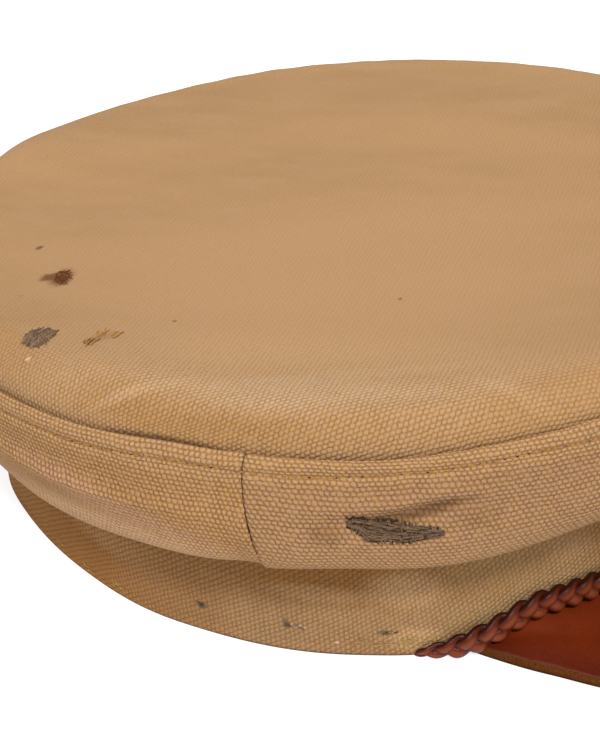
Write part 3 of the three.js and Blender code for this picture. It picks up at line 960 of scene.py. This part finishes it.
def crown_piece():
    u, angle = np.meshgrid(TOP_U, ROUND, indexing="ij")
    points = top_points(u, angle)
    normal = round_normals(points)
    back = points - normal * CANVAS
    coords = crown_uv(u, angle)
    middle = top_points(np.zeros(1), np.zeros(1))
    rows, cols = points.shape[:2]
    below = middle - [0.0, 0.0, CANVAS]
    verts = np.concatenate([points.reshape(-1, 3), back.reshape(-1, 3), middle, below])
    uvs = np.concatenate([coords.reshape(-1, 2)] * 2 + [crown_uv(np.zeros(1), np.zeros(1))] * 2)
    face, lining, _, foot, _ = sheet_faces(rows, cols, True)
    hub = 2 * rows * cols
    first = np.arange(cols)
    following = np.roll(first, -1)
    fan = np.stack([np.full(cols, hub), first, following], axis=-1)
    under = np.stack([np.full(cols, hub + 1), following + rows * cols, first + rows * cols], axis=-1)
    faces = [*face, *lining, *foot, *fan, *under]
    return make_object("crown_top_cloth", verts, faces, [canvas_top], None, uvs)


ride(crown_piece(), "canvas", "crown_top")

# Wall panels: close columns at the side seams, where the cloth turns in
WALL_U = np.linspace(0.0, 1.0, 140)
SEAM_COLUMNS = 14
SEAM_REACH = 5.0
# Reach of the seam's softness, of its rolled edge and of the notch, and how the seam bows and sags
SEAM_SOFT, SEAM_ROLL, SEAM_NOTCH, SEAM_NOTCH_REACH = 9.0, 4.0, 0.35, 0.35
SEAM_BOW, SEAM_BOW_LEVEL, SEAM_BOW_REACH = 0.35, 0.34, 0.13
SEAM_ROLL_FADE, SEAM_SAG_RISE, SEAM_SAG_FADE = (0.66, 0.8), (0.45, 0.62), (0.75, 0.9)
FRONT_PROUD, FRONT_SAG = 0.1, 0.9
BACK_PROUD, BACK_SAG = 0.45, -0.9
SEAM_GAP = 0.015
PANEL_COLUMNS = 270
WALL_STREAK = (0.5, 1.0)


def panel_angles(start, end):
    """Angles in degrees across a panel, closer together next to its two edges."""
    near = math.degrees(SEAM_REACH / WALL_REACH)
    edge = near * np.linspace(0.0, 1.0, SEAM_COLUMNS) ** 1.6
    inner = np.linspace(start + near, end - near, PANEL_COLUMNS)[1:-1]
    return np.concatenate([start + edge, inner, (end - edge)[::-1]])


def panel_run(angles):
    return run_length(wall_points(np.full(len(angles), STITCH_LEVEL), np.radians(angles)))


WALL_DOWN = run_length(wall_points(WALL_U, np.full(len(WALL_U), SIDE)))
FRONT_ANGLES = panel_angles(-WALL_SEAM + SEAM_GAP, WALL_SEAM - SEAM_GAP)
BACK_ANGLES = panel_angles(WALL_SEAM + SEAM_GAP, 360.0 - WALL_SEAM - SEAM_GAP)
FRONT_RUN = panel_run(FRONT_ANGLES)
BACK_RUN = panel_run(BACK_ANGLES)


def wall_place(level, angle, angles, run):
    return float(np.interp(angle, angles, run)), -float(np.interp(level, WALL_U, WALL_DOWN))


def front_place(level, angle):
    """Place on the cloth of the front wall."""
    return wall_place(level, angle, FRONT_ANGLES, FRONT_RUN)


def back_place(level, angle):
    """Place on the cloth of the back wall."""
    return wall_place(level, angle + 360.0, BACK_ANGLES, BACK_RUN)


# Rows two and three are painted shadow of the crease over the upper edge of the darn; the last two rows are
# painted shade along the crease.
FRONT_MARKS = laid(front_place, [
    (0.458, -76.3, 9, 1.8, 9, 0.9, DARK_SPOT),
    (0.428, -80, 2.2, 1.2, 0, 1, SEAM_SHADE),
    (0.436, -77.8, 4.2, 1, 4, 1, SEAM_SHADE),
    (0.415, -72.6, 6.5, 1.1, -16, 0.25, DARK_SPOT),
    (0.43, -76, 7, 1.4, -8, 0.25, DARK_SPOT),
])
# The first row is painted light on the lower fold, which faces down; the other rows are painted shade about
# the crease and the darn.
FRONT_TINTS = laid(front_place, [
    (0.575, -78, 60, 9, 0, 0.85, FRONT_FOLD_LIT),
    (0.411, -71.8, 11, 1.7, -13, 0.75, FOLD_SHADE),
    (0.46, -83.5, 5, 3.5, 0, 0.42, FOLD_SHADE),
    (0.431, -77, 8, 1.5, -5, 0.6, FOLD_SHADE),
    (0.44, -68, 8, 3.5, 0, 0.25, FOLD_SHADE),
])
# The second row is painted light on the lower fold, which faces down.
BACK_TINTS = laid(back_place, [
    (0.46, -110, 32, 4.5, 11, 0.8, FOLD_PINK),
    (0.615, -114, 56, 10, 0, 0.78, FOLD_LIT),
])
WELT_COLOUR = (-10.0, -7.5, WELT_TAN)
front_canvas = canvas(
    "canvas_front", FRONT_TAN, WALL_GAP_SHADE, FRONT_CUT, WALL_BUMP, FRONT_TINTS, FRONT_MARKS,
    seams=(0.0, float(FRONT_RUN[-1])), streak=WALL_STREAK, height_tint=WELT_COLOUR
)
back_canvas = canvas(
    "canvas_back", BACK_TAN, WALL_GAP_SHADE, BACK_CUT, WALL_BUMP, BACK_TINTS,
    seams=(0.0, float(BACK_RUN[-1])), streak=WALL_STREAK, height_tint=WELT_COLOUR
)


def wall_panel(name, angles, along, proud, sag, material):
    """Half of the wall. Its side edges stand proud, sag, and are notched where they meet the other half."""
    u, turn = np.meshgrid(WALL_U, angles, indexing="ij")
    _, run = np.meshgrid(WALL_U, along, indexing="ij")
    to_edge = np.minimum(run, along[-1] - run)
    near = hump(to_edge, 0.0, SEAM_SOFT)
    bow = SEAM_BOW * hump(u, SEAM_BOW_LEVEL, SEAM_BOW_REACH) * near
    points = wall_points(u, np.radians(turn - bow))
    visible = 1 - smoothstep(u, *SEAM_ROLL_FADE)
    roll = proud * hump(to_edge, 0.0, SEAM_ROLL) - SEAM_NOTCH * hump(to_edge, 0.0, SEAM_NOTCH_REACH)
    points = points + grid_normals(points) * (roll * visible)[..., None]
    points[..., 2] -= sag * near * smoothstep(u, *SEAM_SAG_RISE) * (1 - smoothstep(u, *SEAM_SAG_FADE))
    coords = np.stack(np.broadcast_arrays(along[None, :], -WALL_DOWN[:, None]), axis=-1)
    return shell(name, points, CANVAS, coords, [material])


wall_front = wall_panel("wall_front_cloth", FRONT_ANGLES, FRONT_RUN, FRONT_PROUD, FRONT_SAG, front_canvas)
ride(wall_front, "canvas", "wall_front")
wall_back = wall_panel("wall_back_cloth", BACK_ANGLES, BACK_RUN, BACK_PROUD, BACK_SAG, back_canvas)
ride(wall_back, "canvas", "wall_back")

# Head band
BAND_U = np.concatenate([np.linspace(0.0, 0.9, 40), np.linspace(0.9, 1.0, 16)[1:]])
BAND_RUN = run_length(band_points(np.ones(len(ROUND)), ROUND))
BAND_SKEW, BAND_SKEW_FADE = 0.2, (62.0, 85.0)


def band_place(level, angle):
    """Place on the cloth of the band."""
    turn = math.radians(angle)
    return float(np.interp(turn, ROUND, BAND_RUN)), float(band_points(np.array(level), np.array(turn))[2])


# Apart from the first row, an olive tone of the cloth, these tints are painted light and painted shade: the
# darker rows are painted shade on the band's left side and under the fold of the crown, and the paler rows
# are painted light where the band is lit below the fold, where its shade below the fold is softer, and
# beside the plait.
BAND_TINTS = laid(band_place, [
    (0.75, -52, 34, 34, 0, 0.8, OLIVE),
    (0.8, -136, 58, 60, 0, 1, BAND_LEFT_SHADE),
    (0.56, -107, 28, 14, 0, 0.9, BAND_MILD_SHADE),
    (0.625, -70.5, 14, 7, 0, 0.88, BAND_LIT),
    (0.905, -51.5, 16, 2.4, -18, 0.55, BAND_LIT),
    (0.67, -43.5, 9, 5, 0, 0.4, BAND_LIT),
    (0.66, -110, 34, 5, 0, 0.85, BAND_SOFT_LIT),
    (0.8, -106, 18, 22, 0, 0.6, BAND_DULL_SHADE),
    (0.9, -69.5, 10, 5, 0, 0.75, BAND_LIT),
    (0.645, -84, 18, 3.2, 0, 0.5, BAND_LIT),
    (0.74, -58, 11, 5, -8, 0.3, BAND_MILD_SHADE),
])
BAND_MARKS = laid(band_place, [
    (0.842, -102.1, 2, 1.5, 0, 0.85, SMUDGE),
    (0.842, -88.7, 1.2, 1, 10, 0.85, SMUDGE),
    (0.864, -74.5, 1.9, 1.1, 0, 0.8, SMUDGE),
    (0.93, -81.5, 0.9, 0.6, 0, 0.7, PALE_SPOT),
    (0.845, -87.9, 0.9, 0.6, 60, 0.7, PALE_SPOT),
    (0.847, -86.6, 1.1, 0.6, 20, 0.8, PALE_SPOT),
])
# Painted shade over the upper band, under the fold of the crown
BAND_UNDER_FOLD_SHADE = (13.0, 24.0, BAND_SHADE)
# Painted shade along the lowest millimetre of the band
BAND_HEM_SHADE = (0.2, 1.1, HEM_SHADE)
band_canvas = canvas(
    "canvas_band", BAND_TAN, BAND_GAP_SHADE, BAND_CUT, BAND_BUMP, BAND_TINTS, BAND_MARKS,
    height_tint=BAND_UNDER_FOLD_SHADE, hem=BAND_HEM_SHADE
)
u_grid, a_grid = np.meshgrid(BAND_U, ROUND, indexing="ij")
band_grid = band_points(u_grid, a_grid)
band_skew = BAND_SKEW * (1 - smoothstep(np.abs(np.degrees(a_grid)), *BAND_SKEW_FADE))
band_uv = np.stack([BAND_RUN[None, :] + band_skew * band_grid[..., 2], band_grid[..., 2]], axis=-1)
band = shell("band_cloth", band_grid, BAND_CLOTH, band_uv, [band_canvas], around=True)
ride(band, "band_canvas", "head_band")

# Peak: a sheet with a rounded, nearly upright cut edge
peak_skin = peak_leather("peak_skin")
edge_skin = raw_edge("peak_raw_edge")
PEAK_U = np.linspace(0.0, 1.0, 46)
PEAK_V = np.linspace(0.0, 1.0, 260)
EDGE_ROWS = 7
EDGE_FLARE, EDGE_BELLY = 0.55, 0.35
# Where the sheet's underside turns upright, and how far it stays off the ground
EDGE_TURN, PEAK_CLEAR = (0.85, 1.0), 0.1
# Waves of the cut edge. Columns: depth, turns, phase
EDGE_WAVES = ((0.10, 310.0, 0.0), (0.08, 733.0, 1.3))


def peak_piece():
    u, v = np.meshgrid(PEAK_U, PEAK_V, indexing="ij")
    upper = peak_points(u, v)
    down = grid_normals(upper)
    down = down * np.where(down[..., 2:] < 0, 1.0, -1.0)
    outward = upper[-1] - upper[-2]
    outward[:, 2] = 0.0
    outward = unit(outward)
    upright = np.array([0.0, 0.0, -1.0])
    turn = smoothstep(u, *EDGE_TURN)[..., None]
    lean = down * (1 - turn) + upright * turn
    depth = np.minimum(PEAK_LEATHER, upper[..., 2:] - PEAK_CLEAR)
    lower = upper + lean * depth
    lower[-1] = lower[-1] + outward * EDGE_FLARE
    wave = sum(depth * np.sin(PEAK_V * turns + phase) for depth, turns, phase in EDGE_WAVES)
    part = np.linspace(0.0, 1.0, EDGE_ROWS + 2)[1:-1, None, None]
    belly = np.sin(math.pi * part) * EDGE_BELLY + part * wave[None, :, None]
    edge = upper[-1] + (lower[-1] - upper[-1]) * part + outward * belly
    loop = np.concatenate([upper, edge, lower[::-1]], axis=0)
    rows, cols = loop.shape[:2]
    index = np.arange(rows * cols).reshape(rows, cols)
    skin = quads(np.concatenate([index, index[:1]], axis=0))
    faces = [*skin, index[::-1, 0], index[:, -1]]
    slots = np.zeros((rows, cols - 1))
    slots[len(PEAK_U) - 1:len(PEAK_U) + EDGE_ROWS] = 1
    slots = np.concatenate([slots.ravel(), [1, 1]])
    inward = np.linalg.norm(upper - upper[-1], axis=-1)
    below = np.broadcast_to(-PEAK_LEATHER * part[..., 0], (EDGE_ROWS, cols))
    inward = np.concatenate([inward, below, inward[::-1] - PEAK_LEATHER], axis=0)
    along = np.broadcast_to(run_length(upper[-1])[None, :], inward.shape)
    uvs = np.stack([along, inward], axis=-1).reshape(-1, 2)
    return make_object("peak_leather", loop.reshape(-1, 3), faces, [peak_skin, edge_skin], slots, uvs)


ride(peak_piece(), "peak_leather", "visor")

# Plaited strap of three strands
plait_skin = plait_leather("plait_skin")
STRAND_SIDES = 18
STRAND_V = np.linspace(0.0, 1.0, 640)


def strand_path(v, phase):
    limit = math.radians(PLAIT_END)
    angle = limit * (2 * v - 1)
    length = 2 * limit * PLAIT_REACH
    inside = length * np.minimum(v, 1 - v)
    size = PLAIT_THIN + (1 - PLAIT_THIN) * smoothstep(inside, 0.0, PLAIT_TAPER)
    size = size * np.sqrt(np.clip(inside / PLAIT_ROUND, PLAIT_TIP, 1.0))
    turn = 2 * math.pi * (length * v / PLAIT_PITCH + phase / 3)
    room = size * (PLAIT_SWAY + STRAND_WIDE / 2) + GAP
    height = np.maximum(hem_height(angle) + PLAIT_LIFT * size, room)
    over = np.sin(2 * turn)
    outset = PLAIT_CLEAR + size * (STRAND_THICK / 2 + PLAIT_WEAVE) + size * PLAIT_WEAVE * over
    point, out = hem_frame(angle, outset, height)
    point[..., 2] += size * PLAIT_SWAY * np.sin(turn)
    return point, out, size, over


def strand(phase):
    """Rings of points of one strand, a flat strip with round edges, and how far over and across each is."""
    path, out, size, over = strand_path(STRAND_V, phase)
    along = unit(np.gradient(path, axis=0))
    across = unit(np.cross(along, out))
    face = np.cross(across, along)
    ring = np.linspace(0, 2 * math.pi, STRAND_SIDES, endpoint=False)
    wide = np.cos(ring) * STRAND_WIDE / 2
    thick = np.sin(ring) * STRAND_THICK / 2
    body = wide[None, :, None] * across[:, None] + thick[None, :, None] * face[:, None]
    coords = np.stack(np.broadcast_arrays(over[:, None], np.cos(ring)[None, :]), axis=-1)
    return path[:, None] + size[:, None, None] * body, coords


def plait_piece():
    strands, coords = zip(*[strand(phase) for phase in range(3)])
    steps, sides = strands[0].shape[:2]
    index = np.arange(steps * sides).reshape(steps, sides)
    skin = quads(joined(index))
    faces = []
    for phase in range(3):
        base = phase * steps * sides
        faces += [*(skin + base), index[0] + base, index[-1][::-1] + base]
    verts = np.concatenate([s.reshape(-1, 3) for s in strands])
    uvs = np.concatenate([c.reshape(-1, 2) for c in coords])
    return make_object("plaited_strap", verts, faces, [plait_skin], None, uvs)


ride(plait_piece(), "plait_leather", "braid_strap")

# Golden top-stitching all round below the welt, with a needle hole between every two stitches
gold_thread = thread("gold_thread", (0.50, 0.245, 0.040), (0.28, 0.130, 0.024))
hole_dark = thread("needle_holes", (0.035, 0.016, 0.007), (0.020, 0.009, 0.004))
stitches = Tubes()
holes = Tubes()
RING_ANGLES = np.linspace(0, 2 * math.pi, 2000)
RING_RUN = run_length(wall_points(stitch_level(RING_ANGLES), RING_ANGLES))
STITCH_COUNT = int(RING_RUN[-1] / STITCH_PITCH)
STITCH_PART = np.linspace(0, 1, 6)
for i in range(STITCH_COUNT):
    begin = i * RING_RUN[-1] / STITCH_COUNT + rng.uniform(-STITCH_JITTER, STITCH_JITTER)
    stray = rng.uniform(-STITCH_WAVER, STITCH_WAVER)
    sunk = rng.choice(STITCH_SUNK, p=STITCH_SUNK_ODDS)
    angle = np.interp(begin + STITCH_LENGTH * rng.uniform(*STITCH_LONG) * STITCH_PART, RING_RUN, RING_ANGLES)
    lift = sunk + STITCH_BASE + STITCH_ARCH * np.sin(math.pi * STITCH_PART) ** STITCH_BLUNT
    path = off_surface(wall_points, stitch_level(angle) + stray, angle, lift)
    stitches.add(path, STITCH_RADIUS * rng.uniform(*STITCH_FAT))
    start = begin - HOLE_LENGTH - HOLE_SPACE
    angle = np.interp(start + HOLE_LENGTH * STITCH_PART, RING_RUN, RING_ANGLES)
    path = off_surface(wall_points, stitch_level(angle) + stray + HOLE_DROP, angle, HOLE_LIFT + 0.0 * angle)
    holes.add(path, HOLE_RADIUS * rng.uniform(*HOLE_FAT))
ride(stitches.build("top_stitching", gold_thread), "canvas")
ride(holes.build("needle_holes", hole_dark), "canvas")


# Threads of a darn: their waver, and their lowest lift with its spread and wave
DARN_WAVER, DARN_LIFT, DARN_LIFT_SPREAD, DARN_LIFT_WAVE = 0.18, 0.12, 0.16, 0.10
# Short bars across it: reach, lean, length, lift with its bend, and odds of low edge, high edge or between
BAR_REACH, BAR_LEAN, BAR_LENGTH, BAR_LIFT, BAR_BEND = 0.92, 0.35, (0.5, 1.3), 0.42, 1.0
BAR_ODDS = (0.36, 0.32, 0.32)


def darn(patches, patch, outline, rows, radius, bars, picks):
    """Mending threads side by side. Outline gives the half length and the low and high edge for -1 to 1."""
    long, low, high = outline
    for k in range(rows):
        share = (k + 0.5) / rows
        s = np.linspace(-1.0, 1.0, 40)
        t = low(s) + (high(s) - low(s)) * share
        inside = (high(s) - low(s)) > picks.uniform(0.25, 0.6)
        if inside.sum() < 4:
            continue
        s, t = s[inside], t[inside]
        s = s + picks.uniform(-0.03, 0.03)
        t = t + DARN_WAVER * np.sin(s * picks.uniform(5, 12) + picks.uniform(0, 6))
        t = t + picks.uniform(-0.06, 0.06)
        lift = DARN_LIFT + DARN_LIFT_SPREAD * picks.random()
        lift = lift + DARN_LIFT_WAVE * np.sin(s * picks.uniform(10, 22) + picks.uniform(0, 6))
        picks.choice(patches).add(patch.at(long * s, t, lift), radius * picks.uniform(0.8, 1.25))
    for _ in range(bars):
        s = picks.uniform(-BAR_REACH, BAR_REACH)
        share = picks.choice((0.0, 1.0, picks.random()), p=BAR_ODDS)
        size = picks.uniform(*BAR_LENGTH)
        part = np.linspace(-0.5, 0.5, 6)
        here = np.array([s])
        t = low(here) + (high(here) - low(here)) * share + part * size
        lean = picks.uniform(-BAR_LEAN, BAR_LEAN)
        lift = BAR_LIFT - BAR_BEND * part ** 2
        path = patch.at(long * s + lean * part, t, lift)
        picks.choice(patches).add(path, radius * picks.uniform(0.8, 1.15))


# Mending threads. Columns: colour, dark of the twist
MEND_THREADS = {
    "grey": ((0.125, 0.080, 0.052), (0.062, 0.037, 0.022)),
    "pale": ((0.188, 0.115, 0.067), (0.100, 0.060, 0.034)),
    "ash": ((0.280, 0.178, 0.104), (0.148, 0.089, 0.049)),
    "dark": ((0.046, 0.027, 0.015), (0.023, 0.013, 0.007)),
    "red": ((0.160, 0.055, 0.018), (0.085, 0.029, 0.010)),
    "gold": ((0.46, 0.235, 0.065), (0.240, 0.105, 0.028)),
    "yellow": ((0.47, 0.335, 0.107), (0.32, 0.205, 0.061)),
}
mends = {name: Tubes(5) for name in MEND_THREADS}


def tones(*names):
    return [mends[name] for name in names]


# Grey darn on the wall below the crease. Columns: place along, lower edge, upper edge
DARN_EDGE = np.array([
    [-10.6, 1.6, 3],
    [-8.6, 0.4, 3.7],
    [-7.2, -0.9, 3.2],
    [-6, -2.2, 2.8],
    [-1.8, -2.6, 2],
    [2.5, -2.8, 1.4],
    [6.3, -2.5, 0.9],
    [9.2, -2, 0.1],
    [10.6, -1.4, -0.6],
])
picks = np.random.default_rng(31)
DARN_LEVEL, DARN_ANGLE, DARN_HALF = 0.455, -76.3, 10.5
wall_leaf = (
    DARN_HALF,
    lambda s: np.interp(DARN_HALF * s, DARN_EDGE[:, 0], DARN_EDGE[:, 1]),
    lambda s: np.interp(DARN_HALF * s, DARN_EDGE[:, 0], DARN_EDGE[:, 2]),
)
wall_tones = tones("grey", "pale", "pale", "dark")
darn(wall_tones, Patch(wall_points, DARN_LEVEL, DARN_ANGLE), wall_leaf, 26, 0.15, 110, picks)


# Short loose threads: their curl, lowest lift with its spread and bend, and how length and thickness vary
FLECK_CURL, FLECK_LIFT, FLECK_LIFT_SPREAD, FLECK_BEND = 0.5, 0.10, 0.22, 0.5
FLECK_LONG, FLECK_FAT = (0.6, 1.3), (0.7, 1.2)


def flecks(patches, patch, count, half, length, radius, lean, picks):
    """Short loose threads over an oval of two half sizes, lying along its first way within a lean."""
    part = np.linspace(-0.5, 0.5, 7)
    for _ in range(count):
        turn, far = picks.uniform(0, 2 * math.pi), math.sqrt(picks.random())
        s, t = half[0] * far * math.cos(turn), half[1] * far * math.sin(turn)
        long = length * picks.uniform(*FLECK_LONG)
        slope = picks.normal(0.0, lean)
        curl = picks.uniform(-FLECK_CURL, FLECK_CURL) * (part ** 2 - 0.1)
        lift = FLECK_LIFT + FLECK_LIFT_SPREAD * picks.random() - FLECK_BEND * part ** 2
        path = patch.at(s + long * part, t + long * slope * part + curl, lift)
        picks.choice(patches).add(path, radius * picks.uniform(*FLECK_FAT))


# Dark thread ends at the upper edge of the wall darn; their darkness also paints the shadow of the crease
# above it
flecks(tones("dark"), Patch(wall_points, 0.430, -80.0, -8.0), 46, (1.8, 0.9), 2.0, 0.15, 0.5, picks)
flecks(tones("dark"), Patch(wall_points, 0.438, -77.6, -4.0), 34, (3.2, 0.4), 2.0, 0.13, 0.2, picks)

# Three small mends on the crown
grey_tones = tones("grey", "pale", "pale", "ash")
flecks(grey_tones, Patch(top_points, 0.503, -125.2, 123.0), 250, (3.7, 3.2), 3.2, 0.15, 0.35, picks)
flecks(tones("red"), Patch(top_points, 0.348, -144.2, 156.0), 70, (4.4, 2.0), 1.6, 0.09, 0.5, picks)
snag_picks = np.random.default_rng(12)
snag_tones = tones(*["gold"] * 5, "red")
# Columns: level, angle, count
SNAGS = ((0.449, -118.8, 7), (0.409, -120.2, 9), (0.402, -118.4, 6))
for level, angle, count in SNAGS:
    patch = Patch(top_points, level, angle, 124.0)
    flecks(snag_tones, patch, count, (1.8, 1.3), 3.4, 0.17, 0.25, snag_picks)

# Remains of yellow stitching above the hem
REMAINS, REMAIN_START, REMAIN_RUN = 34, -64.5, 14.5
REMAIN_PART = np.linspace(-0.5, 0.5, 7)
remain_tones = tones("yellow", "yellow", "gold")
for _ in range(REMAINS):
    angle = REMAIN_START - REMAIN_RUN * picks.random() ** 0.6
    level = HEM_ROW - 0.02 - 0.12 * smoothstep(angle, -70.0, -60.0) + picks.normal(0, 0.012)
    long = picks.uniform(0.8, 2.6)
    curl = picks.uniform(-0.5, 0.5) * (REMAIN_PART ** 2 - 0.1) + picks.normal(0, 0.12) * REMAIN_PART
    patch = Patch(band_points, level, angle, picks.normal(12, 16))
    path = patch.at(REMAIN_PART * long, curl, 0.10 + 0.12 * picks.random())
    picks.choice(remain_tones).add(path, picks.uniform(0.05, 0.12))

# Small crosses of dark and of ash thread. Columns: level, angle
DARK_CROSSES = ((0.842, -102.1), (0.842, -88.7), (0.864, -74.5), (0.86, -73.2))
ASH_CROSSES = ((0.845, -87.9), (0.847, -86.6), (0.82, -89.1))
for level, angle in DARK_CROSSES:
    patch = Patch(band_points, level, angle, 40.0)
    flecks(tones("grey", "dark"), patch, 5, (0.8, 0.7), 0.9, 0.07, 1.0, picks)
for level, angle in ASH_CROSSES:
    flecks(tones("ash"), Patch(band_points, level, angle, 30.0), 7, (0.7, 0.5), 1.0, 0.08, 1.0, picks)

# Wisps of yellow thread along the hem. Columns: level, angle, turn, count
WISPS = (
    (0.905, -70.5, 8, 10),
    (0.865, -66.3, 40, 7),
    (0.82, -63, 25, 5),
    (0.825, -60, 8, 4),
    (0.855, -57, 0, 3),
    (0.922, -133, -20, 5),
    (0.955, -125.7, -20, 6),
    (0.93, -117.7, -15, 6),
    (0.925, -104.3, -10, 4),
)
for level, angle, turn, count in WISPS:
    patch = Patch(band_points, level, angle, turn)
    flecks(tones("yellow"), patch, count, (3.2, 0.8), 1.8, 0.07, 0.6, picks)
for name, (colour, dark) in MEND_THREADS.items():
    mend = mends[name].build("mend_" + name + "_thread", thread("mend_" + name, colour, dark))
    ride(mend, "canvas")

# Camera at the photograph's angle, in the cap's millimetres
CAMERA_AT = np.array([-418.61, -81.72, 302.56])
CAMERA_AIM = np.array([0.0, 19.7, 24.71])
LENS = 84.87
camera_data = bpy.data.cameras.new("camera")
camera_data.lens = LENS
camera_data.sensor_width = 36.0
camera_data.clip_start = 0.01
camera = bpy.data.objects.new("camera", camera_data)
place = Vector(CAMERA_AT * MM + OFFSET)
aim = Vector(CAMERA_AIM * MM + OFFSET)
camera.location = place
camera.rotation_euler = (aim - place).to_track_quat("-Z", "Y").to_euler()
bpy.context.scene.collection.objects.link(camera)
bpy.context.scene.camera = camera

# Pale floor
FLOOR_HALF = 4.0
FLOOR_GREY, FLOOR_GLOW = 0.34, 0.80
floor_mesh = bpy.data.meshes.new("floor")
corners = [(-1, -1), (1, -1), (1, 1), (-1, 1)]
floor_mesh.from_pydata([(FLOOR_HALF * x, FLOOR_HALF * y, 0) for x, y in corners], [], [(0, 1, 2, 3)])
floor = bpy.data.objects.new("floor", floor_mesh)
bpy.context.scene.collection.objects.link(floor)
g = Graph("floor_white")
g.feed(g.shader, {
    "Base Color": (FLOOR_GREY, FLOOR_GREY, FLOOR_GREY),
    "Emission Color": (1.0, 1.0, 1.0),
    "Emission Strength": FLOOR_GLOW,
    "Roughness": 1.0,
    "Specular IOR Level": 0.0,
})
floor_mesh.materials.append(g.material)

# Soft studio light: a key from the camera's right, a broad light overhead and an even white room
ROOM_LIGHT = 0.49
# Columns: name, degrees round from the wearer's right to the front, degrees up, spread, strength
SUNS = (
    ("key", 20.0, 50.0, 7.0, 3.05),
    ("overhead", -60.0, 80.0, 50.0, 1.24),
)
world = bpy.data.worlds.new("studio")
bpy.context.scene.world = world
world.use_nodes = True
room = world.node_tree.nodes["Background"]
room.inputs["Color"].default_value = (1.0, 1.0, 1.0, 1.0)
room.inputs["Strength"].default_value = ROOM_LIGHT


def sun(name, turn, rise, spread, strength):
    """A distant light with soft edges."""
    data = bpy.data.lights.new(name, "SUN")
    data.angle = math.radians(spread)
    data.energy = strength
    lamp = bpy.data.objects.new(name, data)
    flat = math.cos(math.radians(rise))
    toward = Vector((
        -flat * math.cos(math.radians(turn)),
        -flat * math.sin(math.radians(turn)),
        math.sin(math.radians(rise)),
    ))
    lamp.rotation_euler = toward.to_track_quat("Z", "Y").to_euler()
    bpy.context.scene.collection.objects.link(lamp)


for row in SUNS:
    sun(*row)
bpy.context.scene.view_settings.view_transform = "Standard"
